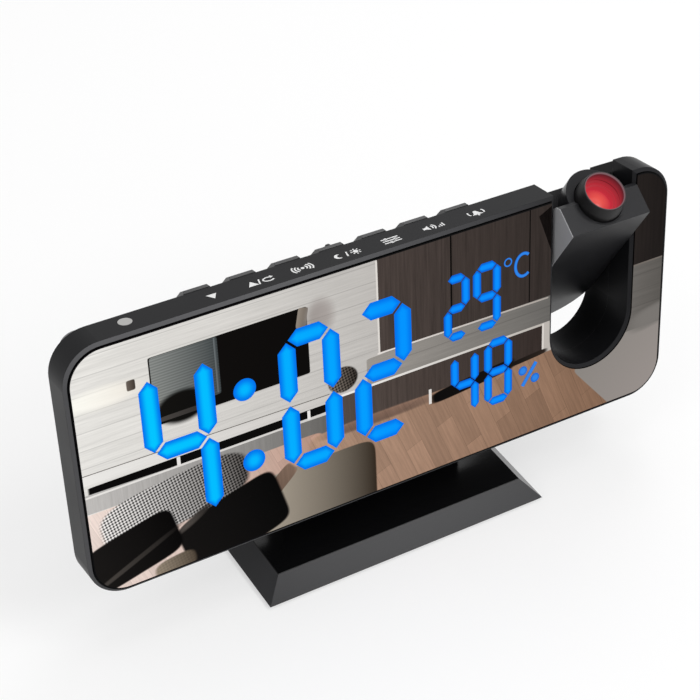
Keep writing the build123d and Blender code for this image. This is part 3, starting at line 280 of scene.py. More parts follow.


# half-silvered mirror: a tinted metal film behind gloss, its colour a painted reflection of a soft quiet
# room
mirror = {
    "roughness": 0.03,
    # ground colour of the painted reflection, under its patches
    "ground": "#b9b3ad",
    "border": "#101011",
    "borderMm": 0.42,  # black line along the plate's edge
    "cornerMm": 9.65,
}
# grey factors near 1 for boards, upright grain, planks, blinds and cloth of the painted reflection: sizes in
# mm, scales of noise per mm, tones from dark to light; the weave is coarser than real cloth, so that it
# shows
paintedReflectionTexture = {
    "boards": {"scale": (0.035, 0.9, 1), "detail": 5.0, "roughness": 0.7, "tone": (0.86, 1.08)},
    "seams": {"pitchMm": 5.2, "edgeMm": (0.05, 0.22), "tone": (0.8, 1.0)},
    "grain": {"scale": (1 / 1.1, 0.03, 1), "detail": 6.0, "roughness": 0.75, "tone": (0.6, 1.3)},
    "planks": {
        "sizeMm": (26.0, 5.5), "degrees": 68, "tone": (0.86, 1.12),
        "gapMm": 0.06, "gapSoftness": 0.4, "gapTone": 0.62,
    },
    "figure": {"scale": (0.06, 1.1, 1), "detail": 6.0, "roughness": 0.7, "tone": (0.82, 1.15)},
    "blinds": {"pitchMm": 0.8, "tone": (0.62, 1.1)},
    "weave": {"threadMm": 0.62, "degrees": 32, "tone": (0.1, 1.0)},
}
noiseMiddle = (0.3, 0.7)  # between these lie most of a noise's values
# each patch of the painted reflection: middle (u, v), half size, turn in degrees, corner power, softness,
# colours at its left and right or low and high side, axis of that change, texture and its depth
paintedReflectionPatches = [
    ("farWall", (45, 56), (60, 30), 0, 24, 0.2, "#eeece7", "#b4b0ac", 0, "boards", 1.0),
    ("lampGlow", (9, 60.3), (9, 2.6), 0, 2, 1.5, "#fffef6", "#efe9df", 0, "boards", 0.3),
    ("wallPlug", (17.3, 61.0), (1.2, 1.5), 0, 6, 0.5, "#6b6158", "#3b342e", 0, None, 0),
    ("screen", (45.0, 56.9), (22.6, 10.05), 0, 60, 0.2, "#100e0d", "#0c0a09", 0, None, 0),
    ("screenBlinds", (32.2, 58.4), (9.4, 8.4), 0, 30, 0.3, "#8a8d8a", "#43494b", 0, "blinds", 0.8),
    ("screenChair", (30.5, 50.2), (7.5, 4.8), 0, 2, 0.35, "#131210", "#0e0d0c", 0, None, 0),
    ("screenShelf", (31.5, 48.2), (8.0, 0.7), 0, 6, 0.4, "#474340", "#292625", 0, None, 0),
    ("screenEdge", (40.9, 58.6), (0.35, 8.1), 0, 20, 0.4, "#6e7476", "#3c4143", 0, None, 0),
    ("screenCorner", (66.1, 64.0), (1.5, 2.9), -12, 8, 0.3, "#8f857a", "#6b6259", 0, None, 0),
    ("screenShade", (71.5, 62.5), (3.5, 4.5), 0, 2, 1.5, "#9b9490", "#a8a19d", 0, "boards", 0.5),
    ("darkPanels", (140, 60.4), (51, 15.4), 0, 60, 0.2, "#483f3b", "#151110", 0, "grain", 0.9),
    ("panelEdge", (88.9, 59.4), (0.28, 14.2), 0, 20, 0.3, "#dcd7d1", "#dcd7d1", 0, None, 0),
    ("panelJoint", (112.15, 60.4), (0.28, 15.4), 0, 20, 0.3, "#0c0908", "#0c0908", 0, None, 0),
    ("secondJoint", (138.1, 60.4), (0.2, 15.4), 0, 20, 0.3, "#0a0807", "#0a0807", 0, None, 0),
    ("greyBoards", (117, 40.9), (32.2, 4.1), 0, 30, 0.2, "#9a958f", "#63615e", 0, "boards", 1.0),
    ("ledge", (116.5, 45.0), (28.2, 0.26), -0.9, 30, 0.3, "#e3ddd7", "#a79f98", 0, None, 0),
    ("wallSeam", (37, 38.9), (36, 0.12), -1, 30, 0.3, "#67625e", "#67625e", 0, None, 0),
    ("cabinetTop", (40, 37.1), (41, 1.5), -1, 30, 0.3, "#eceae6", "#c6c2be", 0, "boards", 0.3),
    ("cabinetSlot", (37.3, 34.4), (34.7, 1.25), 0, 30, 0.3, "#0a0909", "#0a0909", 0, None, 0),
    ("drawers", (38, 30.0), (39, 2.9), -1.2, 30, 0.3, "#c2bfbc", "#5b5956", 0, "grain", 0.35),
    ("drawerTop", (37.3, 32.8), (36, 0.3), 0, 30, 0.3, "#e6e3df", "#cfccc8", 0, None, 0),
    ("slotPost", (27.85, 34.3), (0.5, 1.25), 0, 20, 0.3, "#e8e5e2", "#e8e5e2", 0, None, 0),
    ("secondPost", (66.4, 34.1), (0.45, 1.4), 0, 20, 0.3, "#e8e5e2", "#e8e5e2", 0, None, 0),
    ("cabinetFront", (109.6, 31.4), (33.6, 4.9), 0, 40, 0.3, "#524843", "#332a27", 0, "grain", 0.8),
    ("cabinetLine", (109.6, 36.4), (33.6, 0.34), 0, 30, 0.3, "#efece8", "#b9b3ac", 0, None, 0),
    ("cabinetEnd", (143.0, 32.2), (0.34, 4.4), 0, 20, 0.3, "#d6d0ca", "#d6d0ca", 0, None, 0),
    ("wireBall", (77.3, 41.3), (4.6, 3.9), 0, 2, 0.15, "#867c72", "#2c2622", 0, "weave", 0.9),
    ("paleWood", (33, 13.4), (37, 14.2), 0, 30, 0.3, "#f3e2d9", "#b89280", 0, "planks", 0.6),
    ("woodFloor", (118, 13), (52, 14.0), 0, 16, 0.3, "#b08f79", "#82634e", 0, "planks", 1.0),
    ("floorShade", (88, 25.6), (17, 1.6), 0, 3, 0.9, "#6f594d", "#85695a", 1, "planks", 0.7),
    ("underCabinet", (119, 26.0), (14.2, 1.9), 5, 5, 0.4, "#080707", "#120e0c", 0, None, 0),
    ("underEnd", (138, 27.1), (6.5, 0.8), 4, 4, 0.5, "#120e0c", "#2a211c", 0, None, 0),
    ("underPost", (104.7, 26.0), (0.45, 2.4), 0, 20, 0.3, "#e0dcd8", "#e0dcd8", 0, None, 0),
    ("paleFloor", (182.3, 11.4), (18, 22.5), 40.3, 30, 0.3, "#9c938f", "#89847f", 1, None, 0),
    ("sideBoards", (180, 34.4), (9, 10.7), 0, 30, 0.2, "#6d6965", "#55524e", 0, "boards", 0.9),
    ("sideGlare", (184, 26.5), (9, 3.2), 10, 3, 1.2, "#77736f", "#77736f", 0, None, 0),
    ("sideLine", (180, 45.1), (9, 0.25), 0, 30, 0.3, "#6f6862", "#6f6862", 0, None, 0),
    ("sofa", (69, 7), (17.5, 12.4), 0, 8, 0.12, "#a99f90", "#30261c", 0, None, 0),
    ("sofaGap", (54, 14.2), (9.0, 2.4), 41, 6, 0.3, "#4b3b31", "#826b5c", 0, "grain", 0.5),
    ("wovenCushion", (26, 22.7), (21.5, 7.6), 7, 3.4, 0.15, "#f6f3f0", "#4f4a47", 0, "weave", 1.0),
    ("darkCushion", (42, 8.8), (15.5, 9.6), 16, 7, 0.2, "#151312", "#050505", 0, None, 0),
    ("cushionFold", (31, 15.2), (5.5, 1.0), 30, 2, 1.2, "#57514c", "#171514", 0, None, 0),
    ("lowCushion", (13, 11.6), (13.0, 7.5), 14, 6, 0.2, "#1a1817", "#070606", 0, None, 0),
    ("cushionEdge", (13.5, 9.0), (13.0, 0.7), 24, 3, 1.2, "#4b4642", "#171514", 0, None, 0),
    ("throw", (24, 2.6), (6, 3.0), 8, 3, 0.3, "#9b8d7b", "#54493d", 0, "weave", 0.25),
]


def streakTone(tree, plane, look):
    # streaks of a material's figure, from the dark tone to the light one
    stretched = addNode(tree, "ShaderNodeMapping", {}, {"Vector": plane, "Scale": look["scale"]})
    noise = addNode(tree, "ShaderNodeTexNoise", {}, {
        "Vector": stretched, "Scale": 1.0, "Detail": look["detail"], "Roughness": look["roughness"]})
    return addNode(tree, "ShaderNodeMapRange", {}, {
        "Value": noise, "From Min": noiseMiddle[0], "From Max": noiseMiddle[1],
        "To Min": look["tone"][0], "To Max": look["tone"][1]})


def paintedReflectionTextures(tree, plane):
    # the grey factors of the painted reflection's textures on the mirror's plane, in mm
    parts = addNode(tree, "ShaderNodeSeparateXYZ", {}, {"Vector": plane})

    look = paintedReflectionTexture["seams"]
    row = addNode(tree, "ShaderNodeMath", {"operation": "PINGPONG"}, {
        0: parts.outputs["Y"], 1: look["pitchMm"] / 2})
    seam = addNode(tree, "ShaderNodeMapRange", {}, {
        "Value": row, "From Min": look["edgeMm"][0], "From Max": look["edgeMm"][1],
        "To Min": look["tone"][0], "To Max": look["tone"][1]})
    boards = addNode(tree, "ShaderNodeMath", {"operation": "MULTIPLY"}, {
        0: streakTone(tree, plane, paintedReflectionTexture["boards"]), 1: seam})

    look = paintedReflectionTexture["planks"]
    darkPlank, lightPlank, gap = ((tone, tone, tone, 1) for tone in (*look["tone"], look["gapTone"]))
    ground = addNode(tree, "ShaderNodeMapping", {}, {
        "Vector": plane, "Rotation": (0, 0, math.radians(look["degrees"]))})
    rows = addNode(tree, "ShaderNodeTexBrick", {}, {
        "Vector": ground, "Color1": darkPlank, "Color2": lightPlank, "Mortar": gap, "Scale": 1.0,
        "Mortar Size": look["gapMm"], "Mortar Smooth": look["gapSoftness"],
        "Brick Width": look["sizeMm"][0], "Row Height": look["sizeMm"][1]})
    planks = addNode(tree, "ShaderNodeMath", {"operation": "MULTIPLY"}, {
        0: rows, 1: streakTone(tree, ground, paintedReflectionTexture["figure"])})

    look = paintedReflectionTexture["blinds"]
    slit = addNode(tree, "ShaderNodeMath", {"operation": "PINGPONG"}, {
        0: parts.outputs["Y"], 1: look["pitchMm"] / 2})
    blinds = addNode(tree, "ShaderNodeMapRange", {}, {
        "Value": slit, "From Max": look["pitchMm"] / 2,
        "To Min": look["tone"][0], "To Max": look["tone"][1]})

    look = paintedReflectionTexture["weave"]
    slant = addNode(tree, "ShaderNodeMapping", {}, {
        "Vector": plane, "Rotation": (0, 0, math.radians(look["degrees"]))})
    threads = addNode(tree, "ShaderNodeTexChecker", {}, {"Vector": slant, "Scale": 1 / look["threadMm"]})
    weave = addNode(tree, "ShaderNodeMapRange", {}, {
        "Value": threads.outputs["Fac"], "To Min": look["tone"][0], "To Max": look["tone"][1]})

    grain = streakTone(tree, plane, paintedReflectionTexture["grain"])
    return {"boards": boards, "grain": grain, "planks": planks, "blinds": blinds, "weave": weave}


farthest = 3.0  # in half sizes; keeps the powers finite


def patchMask(tree, plane, middle, half, turn, power, softness):
    # rounded box: |x|^power + |y|^power in the patch's own turned coordinates, 1 inside
    local = addNode(tree, "ShaderNodeMapping", {"vector_type": "TEXTURE"}, {
        "Vector": plane, "Location": (*middle, 0), "Rotation": (0, 0, math.radians(turn)),
        "Scale": (*half, 1)})
    parts = addNode(tree, "ShaderNodeSeparateXYZ", {}, {"Vector": local})
    terms = []
    for axis in ("X", "Y"):
        size = addNode(tree, "ShaderNodeMath", {"operation": "ABSOLUTE"}, {0: parts.outputs[axis]})
        kept = addNode(tree, "ShaderNodeMath", {"operation": "MINIMUM"}, {0: size, 1: farthest})
        terms.append(addNode(tree, "ShaderNodeMath", {"operation": "POWER"}, {0: kept, 1: float(power)}))
    total = addNode(tree, "ShaderNodeMath", {"operation": "ADD"}, {0: terms[0], 1: terms[1]})
    mask = addNode(tree, "ShaderNodeMapRange", {"interpolation_type": "SMOOTHSTEP"}, {
        "Value": total, "From Min": 1 - min(softness, 0.9), "From Max": 1 + softness,
        "To Min": 1.0, "To Max": 0.0})
    return mask, parts


def borderMask(tree, plane):
    # 1 along the plate's edge: how far a point lies beyond the rectangle through the corners' centres,
    # where the edge itself is one corner radius out
    low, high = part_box("mirror_plate")
    inset = housing["width"] / 2 - (high.x - low.x) / 2 / mm
    inner = [size / 2 - inset - mirror["cornerMm"] for size in (housing["width"], housing["height"])]
    centred = addNode(tree, "ShaderNodeVectorMath", {"operation": "SUBTRACT"}, {
        0: plane, 1: (housing["width"] / 2, housing["height"] / 2, 0)})
    folded = addNode(tree, "ShaderNodeVectorMath", {"operation": "ABSOLUTE"}, {0: centred})
    past = addNode(tree, "ShaderNodeVectorMath", {"operation": "SUBTRACT"}, {0: folded, 1: (*inner, 0)})
    beyond = addNode(tree, "ShaderNodeVectorMath", {"operation": "MAXIMUM"}, {0: past, 1: (0, 0, 0)})
    reach = addNode(tree, "ShaderNodeVectorMath", {"operation": "LENGTH"}, {0: beyond})
    return addNode(tree, "ShaderNodeMath", {"operation": "GREATER_THAN"}, {
        0: reach.outputs["Value"], 1: mirror["cornerMm"] - mirror["borderMm"]})


def mirrorMaterial():
    # half-silvered acrylic: metal film, so its colour is what it gives back: a painted reflection of a room
    material, tree = newMaterial("halfSilveredAcrylicPaintedReflection")
    plane = faceCoordinates(tree)
    textures = paintedReflectionTextures(tree, plane)
    colour = linear(mirror["ground"])
    for name, middle, half, turn, power, softness, first, second, axis, texture, depth in paintedReflectionPatches:
        mask, parts = patchMask(tree, plane, middle, half, turn, power, softness)
        mask.label = name
        change = addNode(tree, "ShaderNodeMapRange", {}, {
            "Value": parts.outputs["XY"[axis]], "From Min": -1.0, "From Max": 1.0})
        paint = addNode(tree, "ShaderNodeMix", {"data_type": "RGBA"}, {
            0: change, 6: linear(first), 7: linear(second)})
        if texture:
            paint = addNode(tree, "ShaderNodeMix", {"data_type": "RGBA", "blend_type": "MULTIPLY"}, {
                0: depth, 6: paint.outputs[2], 7: textures[texture]})
        colour = addNode(tree, "ShaderNodeMix", {"data_type": "RGBA"}, {
            0: mask, 6: colour, 7: paint.outputs[2]}).outputs[2]
    film = addNode(tree, "ShaderNodeMix", {"data_type": "RGBA"}, {
        0: borderMask(tree, plane), 6: colour, 7: linear(mirror["border"])})
    shader = addNode(tree, "ShaderNodeBsdfPrincipled", {}, {
        "Base Color": film.outputs[2], "Metallic": 1.0, "Roughness": mirror["roughness"]})
    addNode(tree, "ShaderNodeOutputMaterial", {}, {"Surface": shader})
    return material


# lit figures: colour of a stroke's edge, of its middle at the display's left and at its right, and how far
# in from the edge the middle's colour is full
display = {
    "clockFigures": {"edge": "#0074ee", "left": "#00c4ff", "right": "#0094ff", "at": 0.85},
    "smallFigures": {"edge": "#0660d4", "left": "#0696ff", "right": "#068eff", "at": 0.8},
    "unitSigns": {"edge": "#1f66cc", "left": "#2f86ea", "right": "#2f86ea", "at": 0.6},
    "fadeMm": (25.0, 95.0),  # from left to right, counted from the mirror's left edge
    "unlit": "#02060a",
    "roughness": 0.5,
    "ior": 1.05,
}


def figureMaterial(name):
    # diffuser lit from behind: brightest along the middle of each stroke
    look = display[name]
    material, tree = newMaterial("litDiffuser_" + name)
    glow = addNode(tree, "ShaderNodeAttribute", {"attribute_name": "glow"})
    share = addNode(tree, "ShaderNodeMapRange", {"interpolation_type": "SMOOTHSTEP"}, {
        "Value": glow.outputs["Fac"], "From Max": look["at"]})
    parts = addNode(tree, "ShaderNodeSeparateXYZ", {}, {"Vector": faceCoordinates(tree)})
    across = addNode(tree, "ShaderNodeMapRange", {}, {
        "Value": parts.outputs["X"], "From Min": display["fadeMm"][0], "From Max": display["fadeMm"][1]})
    core = addNode(tree, "ShaderNodeMix", {"data_type": "RGBA"}, {
        0: across, 6: linear(look["left"]), 7: linear(look["right"])})
    colour = addNode(tree, "ShaderNodeMix", {"data_type": "RGBA"}, {
        0: share, 6: linear(look["edge"]), 7: core.outputs[2]})
    shader = addNode(tree, "ShaderNodeBsdfPrincipled", {}, {
        "Base Color": linear(display["unlit"]), "Roughness": display["roughness"], "IOR": display["ior"],
        "Emission Color": colour.outputs[2], "Emission Strength": 1.0})
    addNode(tree, "ShaderNodeOutputMaterial", {}, {"Surface": shader})
    return material


# the printed signs' ink, between a thin and a full cover
inkLook = {"thin": "#c9c9c9", "full": "#f4f4f4", "patchMm": 0.5, "roughness": 0.6}


def inkMaterial():
    # white pad-printed ink on black plastic: flat, slightly uneven cover
    material, tree = newMaterial("padPrintedInk")
    cover = spotNoise(tree, inkLook["patchMm"], 2.0)
    colour = addNode(tree, "ShaderNodeMix", {"data_type": "RGBA"}, {
        0: cover, 6: linear(inkLook["thin"]), 7: linear(inkLook["full"])})
    shader = addNode(tree, "ShaderNodeBsdfPrincipled", {}, {
        "Base Color": colour.outputs[2], "Roughness": inkLook["roughness"]})
    addNode(tree, "ShaderNodeOutputMaterial", {}, {"Surface": shader})
    return material


# red light in the lens and its tube: colours from the middle out, and how far up the tube it climbs; past
# that, a pale painted highlight on the tube's rim
lens = {
    "middle": "#f06456", "rim": "#b42839", "strength": 1.08, "radiusMm": 4.4,
    "unlit": "#400a0d", "roughness": 0.12, "ior": 1.3,
    "tubeLow": "#b82c38", "tubeHigh": "#4c161e", "tubeRimHighlight": "#74545a",
    "axisDegrees": 25.84, "innerMm": 5.8, "outerMm": 6.1, "startMm": 1.6, "reachMm": 6.4,
}


def lensCoordinates(tree, scaleMm):
    # across and along the lens's axis, from its middle, in the given unit
    low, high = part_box("projection_lens")
    where = addNode(tree, "ShaderNodeTexCoord")
    return addNode(tree, "ShaderNodeMapping", {"vector_type": "TEXTURE"}, {
        "Vector": where.outputs["Object"], "Location": tuple((low + high) / 2),
        "Rotation": (math.radians(lens["axisDegrees"]), 0, 0), "Scale": (scaleMm * mm,) * 3})


def lensMaterial(name):
    # acrylic lens with the red lamp behind it: pale in the middle, deep red at the rim
    material, tree = newMaterial(name)
    reach = addNode(tree, "ShaderNodeVectorMath", {"operation": "LENGTH"}, {
        0: lensCoordinates(tree, lens["radiusMm"])})
    colour = addNode(tree, "ShaderNodeMix", {"data_type": "RGBA"}, {
        0: reach.outputs["Value"], 6: linear(lens["middle"]), 7: linear(lens["rim"])})
    shader = addNode(tree, "ShaderNodeBsdfPrincipled", {}, {
        "Base Color": linear(lens["unlit"]), "Roughness": lens["roughness"], "IOR": lens["ior"],
        "Emission Color": colour.outputs[2], "Emission Strength": lens["strength"]})
    addNode(tree, "ShaderNodeOutputMaterial", {}, {"Surface": shader})
    return material


def tubeMaterial():
    # matt nylon whose bore is flooded by the lens: the glow fades outwards and up to the edge, where a pale
    # painted highlight lines the rim
    finish = finishes["mouldedNylonBarrel"]
    material, tree = newMaterial("mouldedNylonBarrelLit")
    inTube = lensCoordinates(tree, 1.0)
    parts = addNode(tree, "ShaderNodeSeparateXYZ", {}, {"Vector": inTube})
    flat = addNode(tree, "ShaderNodeCombineXYZ", {}, {"X": parts.outputs["X"], "Y": parts.outputs["Y"]})
    radius = addNode(tree, "ShaderNodeVectorMath", {"operation": "LENGTH"}, {0: flat})
    inside = addNode(tree, "ShaderNodeMapRange", {}, {
        "Value": radius.outputs["Value"], "From Min": lens["innerMm"], "From Max": lens["outerMm"],
        "To Min": 1.0, "To Max": 0.0})
    climb = addNode(tree, "ShaderNodeMapRange", {}, {
        "Value": parts.outputs["Z"], "From Min": lens["startMm"], "From Max": lens["reachMm"]})
    wall = addNode(tree, "ShaderNodeMix", {"data_type": "RGBA"}, {
        0: climb, 6: linear(lens["tubeLow"]), 7: linear(lens["tubeHigh"])})
    # above the glow's reach, a pale painted highlight on the rim
    onRimHighlight = addNode(tree, "ShaderNodeMath", {"operation": "GREATER_THAN"}, {
        0: parts.outputs["Z"], 1: lens["reachMm"]})
    colour = addNode(tree, "ShaderNodeMix", {"data_type": "RGBA"}, {
        0: onRimHighlight, 6: wall.outputs[2], 7: linear(lens["tubeRimHighlight"])})
    grain = addNode(tree, "ShaderNodeTexNoise", {}, {
        "Vector": inTube, "Scale": 1 / finish["grainMm"], "Detail": 3.0})
    shader = addNode(tree, "ShaderNodeBsdfPrincipled", {}, {
        "Base Color": linear(finish["colour"]), "Roughness": finish["roughness"], "IOR": finish["ior"],
        "Normal": mouldedSurface(tree, finish, grain),
        "Emission Color": colour.outputs[2], "Emission Strength": inside})
    addNode(tree, "ShaderNodeOutputMaterial", {}, {"Surface": shader})
    return material


# plastics lit from inside: the diffuser's blue haze, a pale yellow emitter and a glaring red lamp
glows = {
    "milkyDiffuser": {"colour": "#0a8cf5", "strength": 0.6},
    "phosphorEmitter": {"colour": "#e8e6c8", "strength": 0.5},
    "redLamp": {"colour": "#e01018", "strength": 3.0},
}
# what they share: slow clouds in the plastic
clouds = {"sizeMm": 3.0, "lightens": 1.2, "roughness": 0.5}


def glowMaterial(name):
    # milky or tinted plastic that is lit from inside
    look = glows[name]
    material, tree = newMaterial(name)
    cloud = spotNoise(tree, clouds["sizeMm"], 1.0)
    dark = linear(look["colour"])
    light = [min(1.0, part * clouds["lightens"]) for part in dark]
    colour = addNode(tree, "ShaderNodeMix", {"data_type": "RGBA"}, {0: cloud, 6: dark, 7: light})
    shader = addNode(tree, "ShaderNodeBsdfPrincipled", {}, {
        "Base Color": colour.outputs[2], "Roughness": clouds["roughness"],
        "Emission Color": colour.outputs[2], "Emission Strength": look["strength"]})
    addNode(tree, "ShaderNodeOutputMaterial", {}, {"Surface": shader})
    return material


finishOfSlot = {
    "black_abs": plasticMaterial("mouldedAbsSatin"),
    "key_black": plasticMaterial("mouldedAbsKey"),
    "arm_black": plasticMaterial("mouldedAbsArm"),
    "gloss_black": plasticMaterial("polishedAbsFoot"),
    "barrel_black": tubeMaterial(),
    "mirror": mirrorMaterial(),
    "white_plastic": plasticMaterial("polycarbonateWhite"),
    "blue_diffuser": glowMaterial("milkyDiffuser"),
    "led_white": glowMaterial("phosphorEmitter"),
    "circuit_board": plasticMaterial("solderMaskBoard"),
    "black_socket": plasticMaterial("mouldedNylonSocket"),
    "steel": metalMaterial("zincPlatedSteel"),
    "bronze": metalMaterial("sinteredBronze"),
    "grey_window": plasticMaterial("smokedAcrylic"),
    "clear_resin": plasticMaterial("clearEpoxy"),
    "foam_rubber": plasticMaterial("foamRubber"),
    "speaker_black": plasticMaterial("pressedSpeakerCone"),
    "lens_glass": lensMaterial("acrylicLensLit"),
    "lcd_glass": plasticMaterial("liquidCrystalGlass"),
    "red_lamp": glowMaterial("redLamp"),
    "rubber": plasticMaterial("mouldedRubber"),
}
for part in frame["record"]["subparts"]:
    node = nodes[part["node"]]
    node.data.materials.clear()
    node.data.materials.append(finishOfSlot[part["material_slot"]])
# the frame's rim gets a painted highlight along the mirror's edge
nodes["front_frame"].data.materials[0] = plasticMaterial("mouldedAbsSatin", "rim")
# the arm's left end gets a painted reflection, paler than its faces
nodes["projector_case"].data.materials[0] = plasticMaterial("mouldedAbsArm", "armEndHighlight")
# the foot's bevels get a painted highlight
nodes["foot_shell"].data.materials[0] = plasticMaterial("polishedAbsFoot", "footBevelHighlight")
outerScrew = metalMaterial("blackOxideSteel")
for name in ("housing_screws", "projector_screws", "foot_screws"):
    nodes[name].data.materials[0] = outerScrew
print("finishes on all nodes")

weldMm = 0.002  # points of a skin nearer than this become one


def slab(top, bottom):
    # two grids of points, (rows, columns, 3), joined along their four edges into one closed skin
    rows, columns = top.shape[:2]
    index = np.arange(rows * columns).reshape(rows, columns)
    quads = np.stack([index[:-1, :-1], index[1:, :-1], index[1:, 1:], index[:-1, 1:]], -1).reshape(-1, 4)
    under = quads[:, ::-1] + rows * columns
    rim = np.concatenate([index[0, :], index[1:, -1], index[-1, -2::-1], index[-2:0:-1, 0]])
    nextRim = np.roll(rim, -1)
    side = np.stack([rim, nextRim, nextRim + rows * columns, rim + rows * columns], -1)
    points = np.concatenate([top.reshape(-1, 3), bottom.reshape(-1, 3)])
    return points, np.concatenate([quads, under, side])


def makePiece(name, slabs, material, body="root", glow=None):
    # one object from closed skins, and how much each of their points glows
    starts = np.cumsum([0] + [len(points) for points, _ in slabs[:-1]])
    allPoints = np.concatenate([points for points, _ in slabs])
    allFaces = np.concatenate([faces + start for (_, faces), start in zip(slabs, starts)])
    mesh = bpy.data.meshes.new(name)
    mesh.from_pydata(allPoints.tolist(), [], allFaces.tolist())
    if glow is not None:
        values = np.concatenate(glow).astype(np.float32)
        mesh.attributes.new("glow", "FLOAT", "POINT").data.foreach_set("value", values)
    skin = bmesh.new()
    skin.from_mesh(mesh)
    bmesh.ops.remove_doubles(skin, verts=skin.verts, dist=weldMm * mm)
    bmesh.ops.recalc_face_normals(skin, faces=skin.faces)
    skin.to_mesh(mesh)
    skin.free()
    mesh.materials.append(material)
    piece = bpy.data.objects.new(name, mesh)
    bpy.context.scene.collection.objects.link(piece)
    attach(piece, body)


# lit figures: pointed strokes just clear of the mirror's face, raised a little towards their middle
figure = {
    "liftMm": 0.02,
    "crownMm": 0.05,
    # strokes lettered clockwise from the top one, and the middle one g
    "lit": {"4": "bcfg", "0": "abcdef", "2": "abged", "9": "abcdfg", "8": "abcdefg"},
}


def onMirror(across, up, out):
    # from the mirror's lower left corner, in mm
    return facePoints(across - housing["width"] / 2, up, out)


def skinOn(place, across, along, glow, lift, crown):
    # closed skin over a grid of places, raised by lift and by crown where it glows, with its points' glow
    top = place(across, along, lift + crown * glow)
    bottom = place(across, along, np.zeros_like(across))
    return slab(top, bottom), np.concatenate([glow.ravel(), glow.ravel()])


def strokeSlab(middle, length, thickness, upright):
    # bar with 45 degree points: half its width is the smaller of thickness / 2 and the way to its tip
    half, side = length / 2, thickness / 2
    tip = np.linspace(0, side, 6)
    stations = np.unique(np.concatenate([tip - half, half - tip, np.linspace(side - half, half - side, 5)]))
    along, share = np.meshgrid(stations, np.linspace(-1, 1, 11), indexing="ij")
    reach = np.clip(half - np.abs(along), 0, side)
    across = share * reach
    glow = (reach - np.abs(across)) / side
    level, rising = (across, along) if upright else (along, across)
    return skinOn(onMirror, level + middle[0], rising + middle[1], glow, figure["liftMm"], figure["crownMm"])


def discSlab(middle, radius):
    # disc as rings about its middle, brightest there
    ring, turn = np.meshgrid(np.linspace(0, 1, 7), np.linspace(0, 2 * np.pi, 33), indexing="ij")
    across = middle[0] + radius * ring * np.cos(turn)
    up = middle[1] + radius * ring * np.sin(turn)
    return skinOn(onMirror, across, up, 1 - ring, figure["liftMm"], figure["crownMm"])


def ribbonSlab(path, width, place, lift, crown=0.0):
    # flat band along a path of points, square to it at every point, width one value or one a point
    path = np.asarray(path, float)
    along = np.gradient(path, axis=0)
    along /= np.linalg.norm(along, axis=1, keepdims=True)
    side = np.stack([-along[:, 1], along[:, 0]], -1) * np.broadcast_to(width, len(path))[:, None] / 2
    share = np.linspace(-1, 1, 5)
    spots = path[:, None, :] + side[:, None, :] * share[None, :, None]
    glow = np.broadcast_to(1 - np.abs(share), spots.shape[:2])
    return skinOn(place, spots[..., 0], spots[..., 1], glow, lift, crown)


def arcPath(middle, radii, start, end, steps=28):
    # points along part of an ellipse, start and end in degrees
    turn = np.radians(np.linspace(start, end, steps))
    return np.stack([middle[0] + radii[0] * np.cos(turn), middle[1] + radii[1] * np.sin(turn)], -1)


# sizes and places in mm on the mirror; a digit is its character, the middles of its left and right
# uprights, and the heights of its low, middle and high strokes
clock = {
    "thickness": 5.3, "gap": 0.75,
    "digits": [
        ("4", 21.6, 37.0, (15.7, 38.6, 61.0)),
        ("0", 61.0, 74.2, (20.0, 39.4, 58.7)),
        ("2", 83.4, 96.5, (20.4, 39.9, 59.0)),
    ],
    "dots": [(48.2, 48.6), (49.3, 26.2)], "dotRadius": 3.3,
}
small = {
    "thickness": 2.7, "gap": 0.25,
    "digits": [
        ("2", 110.9, 116.8, (42.4, 51.1, 60.3)),
        ("9", 120.5, 127.1, (42.4, 51.6, 60.9)),
        ("4", 112.9, 119.6, (16.8, 26.0, 35.2)),
        ("8", 124.1, 131.0, (16.9, 26.5, 36.0)),
    ],
}
signs = {
    "degree": {"middle": (130.8, 60.0), "radii": (1.15, 1.15), "width": 0.45},
    "letter": {"middle": (136.0, 57.7), "radii": (2.7, 3.5), "openDegrees": 52, "width": 0.95},
    "percentDots": [(136.1, 23.3), (140.4, 19.6)], "percentDotRadius": 1.5,
    "percentBar": ((136.0, 18.2), (140.7, 24.8)), "percentWidth": 1.3,
}


def digitStrokes(character, left, right, levels, thickness, gap):
    # the strokes that this character lights, out of seven between two uprights and three levels
    low, middle, high = levels
    centre = (left + right) / 2
    places = {
        "a": ((centre, high), right - left, False),
        "b": ((right, (middle + high) / 2), high - middle, True),
        "c": ((right, (low + middle) / 2), middle - low, True),
        "d": ((centre, low), right - left, False),
        "e": ((left, (low + middle) / 2), middle - low, True),
        "f": ((left, (middle + high) / 2), high - middle, True),
        "g": ((centre, middle), right - left, False),
    }
    strokes = []
    for segment in figure["lit"][character]:
        place, length, upright = places[segment]
        strokes.append(strokeSlab(place, length - gap * math.sqrt(2), thickness, upright))
    return strokes


def allDigits(row):
    strokes = []
    for digit in row["digits"]:
        strokes += digitStrokes(*digit, row["thickness"], row["gap"])
    return strokes


def unitStrokes():
    # a degree sign with its letter, and a percent sign
    degree, letter = signs["degree"], signs["letter"]
    ribbons = [
        (arcPath(degree["middle"], degree["radii"], 0, 360, 33), degree["width"]),
        (arcPath(letter["middle"], letter["radii"], letter["openDegrees"], 360 - letter["openDegrees"]),
         letter["width"]),
        (np.linspace(*signs["percentBar"], 7), signs["percentWidth"]),
    ]
    lift, crown = figure["liftMm"], figure["crownMm"]
    strokes = [ribbonSlab(path, width, onMirror, lift, crown) for path, width in ribbons]
    return strokes + [discSlab(middle, signs["percentDotRadius"]) for middle in signs["percentDots"]]


def addFigures(name, strokes, materialName):
    makePiece(name, [skin for skin, _ in strokes], figureMaterial(materialName),
              glow=[glow for _, glow in strokes])


